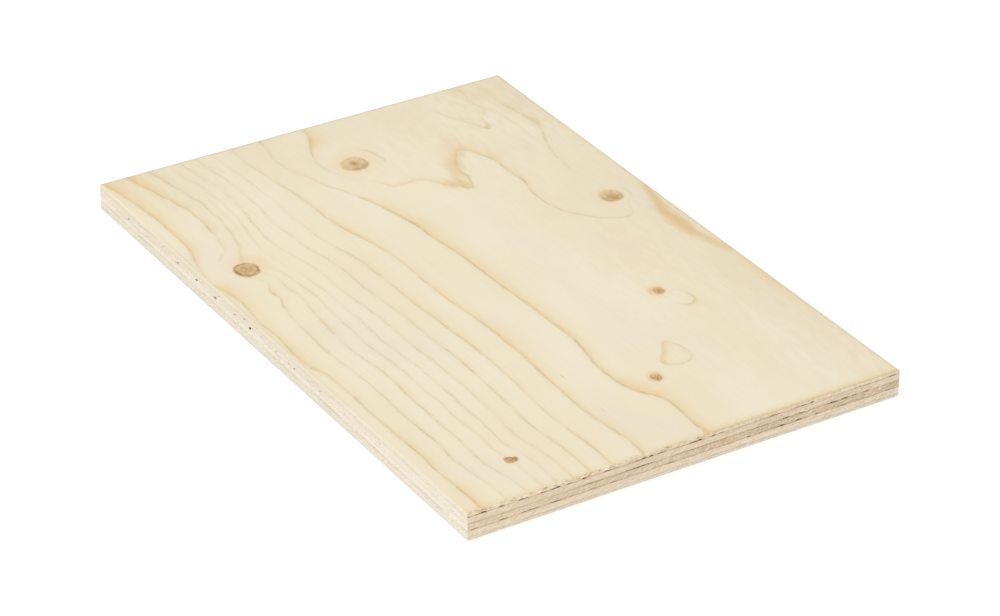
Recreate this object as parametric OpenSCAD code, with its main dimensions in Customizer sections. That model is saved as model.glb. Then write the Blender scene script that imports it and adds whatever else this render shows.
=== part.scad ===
// Softwood plywood panel, sawn to size from a larger sheet and sanded on both faces.
// Five rotary-peeled veneers are glued face to face, each with its grain square to the next.
// X runs along the grain of the face, Y across it and Z up through the thickness.
// The origin is the middle of the underside, where the panel rests.

/* [Panel] */
// Length of the panel, along the grain of the face
panel_length = 300; // [60:10:2440]
// Width of the panel, across the grain of the face
panel_width = 200; // [60:10:1220]

/* [Veneers] */
// Thickness of the face veneer, after sanding
face_thickness = 1.5; // [0.8:0.1:3]
// Thickness of the crossband under the face
upper_crossband_thickness = 3; // [1.5:0.1:4]
// Thickness of the veneer at mid-thickness
centre_thickness = 3; // [1.5:0.1:4]
// Thickness of the crossband over the back
lower_crossband_thickness = 3; // [1.5:0.1:4]
// Thickness of the back veneer, after sanding
back_thickness = 1.5; // [0.8:0.1:3]

/* [Edges] */
// Sanded break along the outer arrises of the face and the back
arris_break = 0.3; // [0.1:0.1:0.7]

/* [Hidden] */

// Each veneer lies on the one below it.
back_z = 0;
lower_crossband_z = back_z + back_thickness;
centre_z = lower_crossband_z + lower_crossband_thickness;
upper_crossband_z = centre_z + centre_thickness;
face_z = upper_crossband_z + upper_crossband_thickness;

// Colours of the sanded veneers, and of the inner veneers by the way that their grain runs.
sanded_face = "#ecdfc2";
sanded_back = "#e6d6b4";
lengthwise_wood = "#d9c39c";
crosswise_wood = "#e4d2b0";

// A veneer sawn square on all four sides.
module sawn_veneer(z, thickness) {
    translate([-panel_length / 2, -panel_width / 2, z])
        cube([panel_length, panel_width, thickness]);
}

// Section through a veneer that is span wide, with both arrises broken on its upper side.
module broken_section(span, thickness) {
    polygon([
        [-span / 2, 0],
        [span / 2, 0],
        [span / 2, thickness - arris_break],
        [span / 2 - arris_break, thickness],
        [-span / 2 + arris_break, thickness],
        [-span / 2, thickness - arris_break],
    ]);
}

// That section drawn out along Y, standing on the origin.
module broken_bar(span, thickness, reach) {
    rotate([90, 0, 0])
        linear_extrude(height = reach, center = true)
            broken_section(span, thickness);
}

// A veneer with its four upper arrises broken: what its lengthwise and crosswise bars share.
module sanded_veneer(thickness) {
    intersection() {
        broken_bar(panel_length, thickness, panel_width);
        rotate([0, 0, 90])
            broken_bar(panel_width, thickness, panel_length);
    }
}

module face_veneer() {
    color(sanded_face)
        translate([0, 0, face_z])
            sanded_veneer(face_thickness);
}

module upper_crossband() {
    color(crosswise_wood)
        sawn_veneer(upper_crossband_z, upper_crossband_thickness);
}

module centre_veneer() {
    color(lengthwise_wood)
        sawn_veneer(centre_z, centre_thickness);
}

module lower_crossband() {
    color(crosswise_wood)
        sawn_veneer(lower_crossband_z, lower_crossband_thickness);
}

// The back is a sanded veneer turned over, so that its broken arrises are at the underside.
module back_veneer() {
    color(sanded_back)
        translate([0, 0, back_z + back_thickness])
            rotate([180, 0, 0])
                sanded_veneer(back_thickness);
}

face_veneer();
upper_crossband();
centre_veneer();
lower_crossband();
back_veneer();
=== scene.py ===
"""Softwood plywood panel: five glued veneers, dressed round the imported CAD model.

The frame is the CAD's own, in metres. Drawn marks are in millimetres from the panel's middle, x along the
grain of the face and y across it, and heights are in millimetres from the underside.
"""

import logging
import math
from dataclasses import dataclass, fields
from enum import Enum

import bpy
import numpy as np
from mathutils import Euler, Matrix, Vector, noise


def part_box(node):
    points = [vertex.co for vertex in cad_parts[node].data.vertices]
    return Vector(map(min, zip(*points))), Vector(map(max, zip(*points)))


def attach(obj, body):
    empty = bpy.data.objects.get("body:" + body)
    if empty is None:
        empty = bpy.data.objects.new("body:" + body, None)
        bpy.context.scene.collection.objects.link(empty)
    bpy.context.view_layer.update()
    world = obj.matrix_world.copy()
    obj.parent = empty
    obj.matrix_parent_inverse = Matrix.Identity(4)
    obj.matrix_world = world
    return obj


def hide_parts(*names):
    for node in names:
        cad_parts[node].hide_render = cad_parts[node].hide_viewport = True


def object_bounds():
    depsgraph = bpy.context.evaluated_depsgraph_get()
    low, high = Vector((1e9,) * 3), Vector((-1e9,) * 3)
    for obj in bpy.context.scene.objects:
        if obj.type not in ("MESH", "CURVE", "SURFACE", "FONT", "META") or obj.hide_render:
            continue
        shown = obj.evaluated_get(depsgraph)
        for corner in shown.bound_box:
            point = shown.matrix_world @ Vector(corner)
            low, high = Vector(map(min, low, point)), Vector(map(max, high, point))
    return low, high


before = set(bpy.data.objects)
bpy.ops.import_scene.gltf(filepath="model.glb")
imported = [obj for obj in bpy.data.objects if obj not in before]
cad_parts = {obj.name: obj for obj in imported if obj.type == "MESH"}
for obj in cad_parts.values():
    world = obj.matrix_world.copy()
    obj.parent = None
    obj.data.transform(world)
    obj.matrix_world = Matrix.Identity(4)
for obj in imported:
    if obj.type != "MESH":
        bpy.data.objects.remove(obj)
CAD_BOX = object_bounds()

LOG = logging.getLogger("plywood_panel")
MM = 0.001
BODY = "root"
TOUCH = 1e-6
STEEP = 0.6
SMOOTH_ANGLE = math.radians(30)

Socket = bpy.types.NodeSocket
Feed = Socket | float | tuple[float, ...]


class Side(Enum):
    """A sawn edge of the panel, as the axis that it faces along and the way that it faces."""

    RIGHT = (0, 1)
    LEFT = (0, -1)
    REAR = (1, 1)
    FRONT = (1, -1)

    @property
    def axis(self) -> int:
        """Index of the axis that the edge faces along."""
        return self.value[0]

    @property
    def way(self) -> int:
        """1 where the edge faces up its axis, -1 where it faces down it."""
        return self.value[1]


class Grain(Enum):
    """The way that a veneer's fibres run, as the index of their axis."""

    LENGTHWISE = 0
    CROSSWISE = 1


class Cut(Enum):
    """How a saw cut meets the fibres of a veneer."""

    ALONG = "side grain"
    ACROSS = "end grain"


@dataclass(frozen=True)
class Tint:
    """A colour as it is seen, each part from 0 to 255."""

    red: float
    green: float
    blue: float

    @property
    def linear(self) -> tuple[float, float, float, float]:
        """The colour as a shader socket takes it.

        Returns:
            Red, green and blue in linear light, and full cover.
        """
        parts = (self.red / 255, self.green / 255, self.blue / 255)
        bent = [p / 12.92 if p <= 0.04045 else ((p + 0.055) / 1.055) ** 2.4 for p in parts]
        return (*bent, 1.0)


OCHRE = Tint(222, 190, 138)
TAN = Tint(224, 192, 148)
ORANGE = Tint(236, 204, 158)
OLIVE = Tint(206, 186, 138)
DULL = Tint(220, 205, 172)
PINK = Tint(236, 210, 184)


@dataclass(frozen=True)
class RingLine:
    """The outer edge of a growth ring.

    Each point has its place along and across, the crispness of the edge and the depth of the band before it.
    With more ease, the ring passes the points less closely.
    """

    ring: float
    points: tuple[tuple[float, float, float, float], ...]
    ease: float = 3.0


@dataclass(frozen=True)
class Mark:
    """Something drawn over the wood by a node group of its own: its place and half-widths."""

    place: tuple[float, float]
    radii: tuple[float, float]

    @classmethod
    def group(cls) -> str:
        """Gives the name of the node group."""
        return cls.__name__.lower()

    @staticmethod
    def _feed(value: object) -> Feed:
        """Turns a field's value into what a socket takes.

        Args:
            value: A colour, a pair of numbers or a number.

        Returns:
            The colour, vector or number.
        """
        if isinstance(value, Tint):
            return value.linear
        return (*value, 0.0) if isinstance(value, tuple) else value

    def feeds(self) -> dict[str, Feed]:
        """Gives what goes into the node group, by the names of the fields."""
        return {part.name: self._feed(getattr(self, part.name)) for part in fields(self)}


@dataclass(frozen=True)
class Knot(Mark):
    """A sanded knot, and how its parts show."""

    body: Tint = Tint(214, 188, 146)
    dark: Tint = Tint(164, 128, 86)
    soft: float = 0.2
    turn: float = 0.0
    heart: tuple[float, float] = (0.0, 0.0)
    pith: float = 0.6
    core: float = 0.3
    rings: float = 0.1
    rim: float = 0.4
    shade: tuple[float, float] = (0.2, 0.2)
    blotch: float = 0.5
    ragged: float = 0.5
    halo: float = 0.4
    halo_tint: Tint = Tint(238, 212, 176)
    halo_shift: tuple[float, float] = (0.0, 0.0)
    crack: float = 0.0


@dataclass(frozen=True)
class Stain(Mark):
    """A soft patch of another tint: its turn, colour, strength and raggedness. Some are painted shade."""

    turn: float
    tint: Tint
    strength: float
    ragged: float = 1.3


@dataclass(frozen=True)
class Ripple(Mark):
    """A short arc of a ring that bends round a knot: its heading, strength and colour."""

    turn: float
    strength: float
    tint: Tint = OLIVE


@dataclass(frozen=True)
class Figure:
    """All that the peeled face of a veneer shows."""

    rings: tuple[RingLine, ...]
    rest: tuple[tuple[float, float, float], ...]
    knots: tuple[Knot, ...]
    tinted_patches: tuple[Stain, ...] = ()
    ripples: tuple[Ripple, ...] = ()


@dataclass(frozen=True)
class EdgeGap:
    """A void that the saw has opened: place along the edge, height, length, opening, depth and slant."""

    along: float
    height: float
    length: float
    opening: float
    depth: float
    slant: float = 0.0


FACE_RINGS = (
    # far left corner
    RingLine(-1, ((-150, 85.6, .4, .3), (-142, 85.8, .5, .3), (-130, 86.3, .7, .3), (-117, 88, .9, .4),
                  (-105, 89.2, 1, .5), (-99, 89, 1, .4), (-90, 86, .9, .3), (-80, 82.4, .8, .2),
                  (-71, 80.2, .7, .2), (-62, 79.6, .5, .1), (-55, 78.8, .1, 0), (-60, 88, 0, 0))),
    # hairpin beside the left end
    RingLine(-1, ((-150, 75, .6, .4), (-133, 75, .3, .2), (-118, 72, .3, .2), (-112, 71, .4, .5),
                  (-107.6, 69, .4, .7), (-110.5, 66.6, .4, .6), (-120, 62.3, .5, .3), (-130, 58.4, .3, .2),
                  (-150, 55, 0, .1))),
    # contour round the knots of the left half
    RingLine(0, ((-27, 88.5, 0, 0), (-19, 83.6, .3, 0), (-12.5, 81.5, .6, .1), (-10, 77.5, .5, .2),
                 (-12, 71.5, .5, .3), (-17, 64.3, .6, .3), (-27, 57.2, .6, .4), (-38, 54.2, .8, .4),
                 (-50, 54.4, .9, .5), (-62, 56.4, 1.1, .7), (-75, 55.5, 1, .6), (-88, 53.3, 1, .9),
                 (-95.5, 50.3, .8, 1), (-97.5, 47.6, .7, 1.1), (-93.5, 44, .7, 1), (-86, 39.4, .7, .9),
                 (-76, 38.3, 1, .8), (-70, 36.3, 1, .8), (-65.2, 33.6, .8, 1), (-69.8, 29.5, .3, .9),
                 (-74.5, 24.8, .2, .8), (-80, 21.4, .15, .7), (-83.4, 18, .2, .6), (-83.2, 11, .3, .6),
                 (-84, 5.8, .3, .4), (-90, 2.6, .3, .3), (-97, -3, 0, 0), (-106, -9.5, .2, .1),
                 (-118, -11.2, .5, .2), (-127, -9.3, .7, .5), (-137, -4.6, 1.3, 1.5), (-144, -2.1, 1, 1.1),
                 (-150, -2.4, .9, 1))),
    # long line across the middle
    RingLine(1, ((-150, -22.8, .9, .8), (-140, -24, .6, .4), (-130, -25.8, .5, .2), (-120, -24.3, .5, .2),
                 (-108, -20.4, .5, .2), (-92, -14.5, .6, .3), (-78, -9.2, .8, .6), (-66, -6.2, 1, .9),
                 (-46, -2.6, 1.2, 1.1), (-26, -1, .9, .9), (-5, .2, .9, .9), (20, 1.2, .9, .9),
                 (45, 2.1, 1, 1), (60, 2.8, 1.3, 1), (72, 1.7, 1.1, .9), (84, -.4, 1.2, .7),
                 (94, -.6, 1.2, .7),
                 (103, .3, 1.3, 1.2), (110, 2.4, 1, 1.3), (115, 6, 1, 1.3), (120, 8.4, 1, .9),
                 (133, 8.5, 1, .9),
                 (150, 8.8, 1.4, 1))),
    # streak along the far edge
    RingLine(1, ((-34, 101, .2, .4), (-27, 98.6, .4, .7), (-18, 97.2, .3, .7), (-8, 96.4, .2, .7),
                 (2, 96, .1, .7), (12, 95.9, .1, .7), (20, 96.4, .2, .7), (28, 97.8, .4, .7),
                 (34, 99.6, .4, .6))),
    # teardrop beside a pin knot
    RingLine(1, ((51.2, 59.8, .3, 0), (53.3, 61.3, .5, .1), (55.9, 62.3, .6, .2), (58.5, 62.7, .6, .3),
                 (60.8, 62.6, .7, .4), (62.8, 61.6, .8, .6), (64, 59.3, .8, .7), (63.6, 56.8, .6, .5),
                 (62.3, 55.4, .3, .2), (60.3, 54.3, .1, 0), (57, 53.6, 0, 0), (52.8, 55.6, 0, 0))),
    # loop beside the other pin knot
    RingLine(0, ((82.6, 32.6, .6, 1), (86, 34.8, .6, .5), (92, 36.8, .6, .3), (97, 36.9, .6, .3),
                 (100.7, 33.8, .6, .3), (101.2, 28, .5, .3), (99.3, 23.9, .4, .6), (96.6, 22.8, .3, .7),
                 (90, 28, .2, .6))),
    # straight grain of the near half
    RingLine(2, ((-150, -36.8, .8, .4), (-140, -37.9, .5, .3), (-125, -36.4, .6, .3), (-110, -34.9, .7, .3),
                 (-95, -32.8, .8, .4), (-76, -32.3, .8, .5), (-62, -30.4, .9, .8), (-50, -27.3, .9, .7),
                 (-40, -25.7, .6, .5), (-25, -24.2, .45, .5), (-10, -24.5, .8, .5), (8, -24, .9, .9),
                 (20, -23, .9, .8), (38, -21.5, .9, .9), (52, -21.6, .9, 1), (68, -21.8, .8, .9),
                 (80, -22.5, .9, .9), (93, -22.9, .9, .8), (108, -23.3, 1, .6), (118, -22.6, 1, .6),
                 (130, -21.2, .9, .8), (140, -20, .8, .8), (150, -20.8, .8, .8)), 30),
    RingLine(3, ((-150, -46, .3, .2), (-128, -45.3, .3, .2), (-104, -44.2, .4, .1), (-85, -44.2, .3, .1),
                 (-63, -43.6, .5, .1), (-51, -41.6, .5, .1), (-42, -39.1, .9, .3), (-28, -38, .9, .5),
                 (-12, -37.3, .8, .3), (8, -37.1, .9, .6), (28, -36, .9, .6), (42, -35.1, .9, .7),
                 (60, -34.3, .9, .4), (78, -34.7, .6, .4), (92, -36, .5, .3), (106, -36.4, .6, .3),
                 (122, -35.8, .7, .4), (134, -34.8, .9, .5), (150, -35.3, .8, .5)), 40),
    RingLine(4, ((-150, -53.9, .4, .2), (-133, -52.9, .5, .2), (-115, -51.5, .25, .2), (-95, -51, .6, .2),
                 (-72, -51.7, .35, .2), (-60, -51.8, .5, .2), (-45, -49.2, .7, .2), (-28, -47.4, .6, .2),
                 (-8, -47.3, .6, .2), (10, -45.8, .5, .3), (24, -45.6, .7, .3), (44, -45, .8, .3),
                 (56, -44.8, 1, .6), (75, -45.3, .7, .2), (95, -45.9, .7, .2), (112, -46.4, .8, .2),
                 (125, -45, .7, .3), (150, -44.9, .7, .4)), 40),
    RingLine(5, ((-150, -61.2, .6, .2), (-125, -58, .3, .2), (-105, -58.2, .4, .2), (-90, -60.4, .8, .4),
                 (-78, -61.4, .6, .2), (-60, -60.6, .3, .1), (-45, -58, .4, .1), (-20, -57.2, .4, .1),
                 (0, -55.6, .7, .2), (12, -54.6, .7, .3), (25, -54.8, .7, .3), (50, -53.8, .6, .3),
                 (78, -53.3, .7, .3), (98, -54.4, .3, .2), (114, -55.4, .6, .2), (127, -53.4, .6, .2),
                 (140, -52.4, .7, .2), (150, -52.9, .6, .3)), 40),
    RingLine(6, ((-150, -69, .1, .1), (-135, -67.4, .3, .1), (-118, -65.4, .5, .1), (-100, -64.8, .3, .1),
                 (-87, -65.8, .6, .2), (-77, -68.2, .5, .2), (-64, -69.8, .3, .1), (-46, -66.4, .1, 0),
                 (-30, -63.9, .5, .2), (-10, -63.3, .2, .1), (12, -63, .5, .2), (24, -63.5, .6, .2),
                 (40, -62.6, .6, .2), (61, -61.8, .5, .2), (80, -62.3, .6, .2), (100, -62, .6, .2),
                 (114, -63.1, .6, .2), (122, -60.6, .2, .1), (134, -59.2, .4, .1), (150, -60, .7, .2)), 25),
    RingLine(7, ((-150, -72.6, 0, .1), (-118, -68, 0, .1), (-92, -67.8, .1, .1), (-76, -70.8, .1, .1),
                 (-62, -73.4, 0, 0), (-38, -69.4, .4, .2), (-26, -68.6, .5, .3), (-8, -69, .6, .2),
                 (12, -69, .6, .2), (34, -68.7, .7, .2), (52, -67.7, .5, .2), (78, -66.7, .6, .2),
                 (100, -66.9, .5, .2), (110, -67.2, .4, .5), (118, -67.6, .2, .4), (135, -65.8, .2, .1),
                 (150, -65.2, .5, .2)), 40),
    RingLine(8, ((-150, -77, .9, .8), (-140, -74.6, .8, .6), (-128, -72.3, .7, .3), (-114, -69.9, .8, .3),
                 (-97, -69.9, .5, .3), (-83, -71.6, .6, .3), (-73, -74.2, .6, .4), (-63.5, -79, .9, .5),
                 (-44, -76.4, .2, .1), (-34, -75.3, .5, .2), (-20, -73.5, .3, .2), (-9, -75.3, .7, .3),
                 (4, -76.5, .7, .6), (16, -77.5, .6, .2), (31, -76.9, .6, .2), (44, -74.9, .7, .3),
                 (60, -75.3, .9, .5), (72, -76.1, .8, .4), (95, -76.1, .7, .3), (110, -76.7, .8, .2),
                 (126, -76.4, .7, .2), (140, -73.4, .3, .2), (150, -72.8, .5, .2)), 25),
    RingLine(9, ((-150, -88.2, 1, 1.8), (-140, -86.5, .9, 1.4), (-128, -83.3, .9, 1.1), (-116, -80.2, .8, .8),
                 (-104, -78.5, .8, .5), (-92, -79.2, 1.3, .6), (-80, -80.4, .6, .2), (-72, -82, .5, .3),
                 (-67, -86.8, .4, .1), (-62, -90, .1, .05), (-40, -78.6, .3, .1), (-35, -81.6, .7, .4),
                 (-32.4, -82.7, .9, .6), (-27, -81, 1.2, .3), (-20, -83.6, .9, .2), (-8, -85.1, .5, .2),
                 (10, -85.9, .7, .2), (25, -85.9, .7, .2), (45, -85, .6, .2), (66, -84.4, .8, .2),
                 (84, -84.4, 1, .2), (102, -83.6, 1, .2), (126, -83.5, .7, .2), (138, -82.3, .4, .2),
                 (150, -82.4, .3, .2)), 12),
    RingLine(10, ((-150, -98.8, 1, 1.3), (-140, -97, 1, 1.4), (-128, -95.3, .9, 1.1), (-114, -94.2, .8, 1),
                  (-98, -94.1, .6, 1), (-84, -94.1, .6, .9), (-75, -95.3, 1.2, .8), (-63, -98.1, .6, .4),
                  (-52, -99.8, 0, .2), (-43, -98.6, .4, 1.2), (-37, -97.6, .8, 1), (-30, -96.7, .9, .7),
                  (-16, -98, .8, .5), (0, -97.5, .8, .5), (16, -98.5, .8, .8), (28, -97.8, 1, .8),
                  (37, -94.9, 1, .5), (50, -94.6, 1.3, .4), (70, -94.7, .7, .2), (92, -94.5, .9, .6),
                  (107, -94, 1.3, .7), (124, -94.3, .9, .5), (138, -93.5, 1.2, .9),
                  (150, -93.8, 1.4, 1.1)), 12),
)

# Between the rings the field is held by points: along, across, ring.
FACE_REST = (
    (-20, 40, .42), (10, 60, .42), (35, 35, .48), (60, 25, .5), (75, 45, .42), (110, 45, .46), (130, 65, .5),
    (130, 30, .55), (100, 70, .5), (70, 80, .55), (120, 92, .68), (85, 96, .75), (55, 95, .78), (148, 97, .7),
    (-55, 25, .3), (-40, 10, .55), (0, 75, .55), (25, 75, .55), (78, 18, .5), (115, 22, .58), (48, 50, .45),
    (42, 62, .5), (92, 31, -.2), (58, 58.3, 1.12), (73, 60, .62), (-82, 48, .2), (-110, -15, .35),
    (-140, 30, -.55), (-120, 40, -.5), (-110, 25, -.4), (-95, 20, -.25), (-110, 5, -.3), (-140, 10, -.35),
    (-130, 67, -1.3), (-148, 65, -1.3), (-60, 68, -.35), (-40, 85, -.3), (-29, 80, -.3), (-45, 70, -.3),
    (-75, 30, -.04), (-71, 33, -.04), (-120, 98, -1.35), (-90, 98, -1.3), (-60, 96, -.9), (-45, 97, -.2),
    (-100, 80, -.75), (-90, 66, -.45), (-15, 60, .2), (-8, 88, .35), (15, 99, 1.15), (-8, 99, 1.15),
)

FACE = Figure(
    rings=FACE_RINGS,
    rest=FACE_REST,
    knots=(
        Knot((-29, 81.2), (5.2, 4.9), Tint(227, 198, 156), Tint(170, 136, 80), .24, heart=(.15, 0), pith=.55,
             core=.5, rim=.2, shade=(.7, -.1), halo=.4, halo_tint=Tint(238, 212, 178), halo_shift=(.1, -.5),
             blotch=.45),
        Knot((-109.7, 2.3), (6.3, 6), Tint(231, 205, 163), Tint(170, 132, 84), .2, heart=(-.08, -.05),
             pith=.8, core=.28, rings=.04, rim=.3, shade=(.45, .15), halo=.6, halo_tint=Tint(240, 214, 174),
             blotch=.3),
        Knot((-52.9, -82), (5.8, 5.6), Tint(221, 187, 139), Tint(164, 124, 78), .13, heart=(-.14, .06),
             pith=.4, core=.2, rings=.17, rim=.85, shade=(.1, -.3), blotch=.42, halo=.6,
             halo_tint=Tint(238, 210, 168), halo_shift=(-.5, .5), crack=.35),
        Knot((48.7, 53.5), (2.5, 2.3), Tint(222, 186, 138), Tint(160, 112, 64), .42, pith=.75, core=.25,
             rim=.4, shade=(.2, .1), halo=.8, halo_tint=Tint(229, 193, 144), halo_shift=(-.15, -.45),
             blotch=.35),
        Knot((104.8, 14.7), (2.5, 2.2), Tint(226, 190, 142), Tint(146, 104, 58), .44, heart=(.1, 0), pith=.3,
             rim=.2, shade=(.4, -.1), halo=.9, halo_tint=Tint(235, 200, 154), halo_shift=(-.25, -.1),
             blotch=.9, ragged=.8),
        Knot((126.2, -66.2), (2.5, 2.3), Tint(214, 172, 124), Tint(142, 108, 72), .3, pith=.1, rim=.6,
             shade=(-.3, .8), halo=.5, blotch=.7, ragged=1.7),
    ),
    tinted_patches=(
        # The broad dull patches darken the left end and the rear half of the face: painted shade away from
        # the near corner.
        Stain((-150, 0), (60, 130), 0, DULL, .2),
        Stain((0, 100), (260, 80), 0, DULL, .17),
        Stain((-130, -70), (50, 26), 0, DULL, .2),
        Stain((60, 106), (120, 36), 0, DULL, .2),
        Stain((-142, 86), (44, 24), 0, TAN, .2),
        Stain((-120, 98), (50, 16), 0, DULL, .25),
        Stain((135, 98), (40, 30), 0, PINK, .2),
        Stain((62, 98), (30, 4.5), 0, ORANGE, .55, .8),
        Stain((-109.7, 2.3), (17, 15), 0, ORANGE, .22),
        Stain((48.3, 52.8), (9, 7.5), 0, ORANGE, .3),
        Stain((104.4, 14.4), (7.5, 6), 0, ORANGE, .25),
        Stain((-95, 65), (36, 20), 0, TAN, .12),
        Stain((22, 62), (36, 20), 0, ORANGE, .16),
        Stain((-103, 47), (13, 7), -.15, PINK, .6),
        Stain((-94, 46), (8, 3.4), -.5, OCHRE, .4),
        Stain((-85, 37.5), (12, 6.5), -.35, OCHRE, .4),
        Stain((-72.5, 30.5), (9, 6.5), .75, OCHRE, .58),
        Stain((-69, 33.5), (6, 3), .2, OLIVE, .3),
        Stain((-83.4, 13), (2.4, 10), 0, PINK, .5),
        Stain((-110, 69.2), (4, 1.8), -.3, OLIVE, .6),
        Stain((-17, 95.8), (19, 3), -.2, OCHRE, .7, .5),
        Stain((3, 92.9), (22, 5.2), 0, OCHRE, .9, .7),
        Stain((24, 95.2), (20, 3.4), .2, OCHRE, .5, .6),
        Stain((4, 90), (18, 3), 0, ORANGE, .5),
        Stain((-104, 90.2), (9, 2.6), 0, OLIVE, .4),
        Stain((91, 27.6), (8, 1.9), -.63, OCHRE, .28),
        Stain((97, 23.6), (2.6, 1.6), .3, OCHRE, .35),
        Stain((85.5, -16.5), (3.2, .5), 0, OLIVE, .4),
        Stain((114.5, -16.5), (2.6, .5), 0, OLIVE, .25),
        Stain((148.6, 8.4), (3.4, 1.8), -.2, OCHRE, .8),
        Stain((148.8, -20.8), (2.6, 1.4), -.2, OCHRE, .6),
        Stain((148.8, -93.8), (3, 1.5), -.2, OCHRE, .6),
    ),
    ripples=(
        Ripple((-109.7, 2.3), (12.6, 12.6), 1.8, .4),
        Ripple((-29, 81.2), (8.6, 8.6), 1.5, .3),
    ),
)

BACK = Figure(
    rings=(
        RingLine(1, ((-150, 84, .7, .5), (-110, 87.5, .8, .4), (-72, 92.5, .6, .5), (-20, 92, .8, .6),
                     (22, 90.5, .7, .3), (60, 87, .7, .4), (104, 86, .8, .4), (150, 81, .7, .4))),
        RingLine(2, ((-150, 71, .7, .4), (-104, 74, .6, .3), (-64, 79.5, .8, .4), (0, 79, .8, .5),
                     (40, 77, .6, .3),
                     (80, 71, .7, .5), (118, 70, .7, .3), (150, 65, .6, .4))),
        RingLine(3, ((-150, 51, .6, .3), (-112, 56.5, .7, .4), (-80, 61.5, .7, .4), (-20, 61, .6, .4),
                     (24, 57.5, .7, .5), (70, 50, .8, .6), (112, 51, .7, .4), (150, 46, .7, .5))),
        RingLine(4, ((-150, 33, .7, .6), (-124, 34.5, .8, .6), (-100, 39.5, .8, .7), (-74, 40, .9, .8),
                     (-40, 35, .8, .8), (-4, 32, .8, .7), (30, 25.5, .8, .8), (52, 18.5, 1, .9),
                     (68, 17.5, 1, 1),
                     (90, 20.5, .9, .9), (120, 25, .8, .7), (150, 23, .8, .7))),
        RingLine(5, ((-150, 4, .6, .5), (-122, 6.5, .7, .6), (-98, 9.5, .9, .9), (-76, 6.5, .9, 1),
                     (-50, -2.5, .8, .9), (-22, -9.5, .8, .8), (14, -11.5, .9, .8), (44, -12.5, .9, .9),
                     (70, -12, .9, .9), (104, -8, .8, .7), (150, -5, .8, .6))),
        RingLine(6, ((-150, -31, .8, .7), (-118, -28, .8, .6), (-84, -29.5, .7, .5), (-50, -33, .9, .7),
                     (-10, -37.5, .8, .6), (34, -36.5, .8, .5), (84, -33.5, .8, .6), (116, -36.5, .7, .5),
                     (150, -31, .8, .6))),
        RingLine(7, ((-150, -51, .8, .5), (-104, -48, .7, .4), (-60, -50.5, .8, .4), (0, -54.5, .8, .4),
                     (54, -51, .6, .3), (100, -48.5, .8, .4), (124, -48.5, .6, .3), (150, -47, .7, .4))),
        RingLine(8, ((-150, -64, .7, .3), (-96, -63.5, .5, .3), (-42, -66.5, .8, .3), (24, -68, .5, .3),
                     (88, -65, .7, .3), (150, -62.5, .7, .3))),
        RingLine(9, ((-150, -77, .7, .3), (-88, -77.5, .6, .3), (-30, -80.5, .7, .3), (40, -79.5, .8, .4),
                     (98, -78, .5, .3), (150, -75.5, .7, .3))),
        RingLine(10, ((-150, -91.5, .8, .5), (-92, -90.5, .6, .4), (-36, -93.5, .8, .4), (30, -92.5, .6, .4),
                      (92, -92, .7, .4), (150, -89.5, .8, .5))),
    ),
    rest=((0, 10, 4.4), (-125, 20, 4.45), (120, 8, 4.4), (-90, 23, 4.4), (64, 3, 4.45)),
    knots=(
        Knot((-92, 22), (5.6, 5.2), Tint(224, 194, 150), Tint(168, 130, 82), heart=(.1, .1), pith=.7, rim=.3,
             shade=(.3, -.2), halo=.6),
        Knot((64, 4), (6.6, 6), Tint(218, 184, 138), Tint(158, 118, 74), .12, heart=(-.1, -.1), pith=.5,
             core=.22, rings=.17, rim=.85, halo=.6, crack=.5),
        Knot((118, -42), (2.6, 2.4), Tint(210, 168, 122), Tint(142, 106, 70), .34, pith=.6, halo=.6,
             ragged=.9),
        Knot((-31, 47), (2.1, 2), Tint(218, 180, 132), Tint(150, 108, 64), .4, pith=.7, halo=.7, ragged=.8),
    ),
    tinted_patches=(
        Stain((110, 60), (90, 50), 0, DULL, .22),
        Stain((-90, -70), (110, 40), 0, DULL, .2),
        Stain((-92, 22), (17, 14), 0, ORANGE, .24),
        Stain((64, 4), (19, 16), 0, TAN, .22),
        Stain((-31, 47), (8, 6), 0, ORANGE, .25),
        Stain((-8, -7), (34, 4.5), -.06, OCHRE, .3),
        Stain((24, 61), (22, 3), -.08, OCHRE, .3),
        Stain((128, 24), (16, 3), -.05, OLIVE, .25),
    ),
    ripples=(
        Ripple((64, 4), (10.5, 10.5), -1.3, .35),
        Ripple((-92, 22), (9, 9), 1.9, .35),
    ),
)
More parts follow.
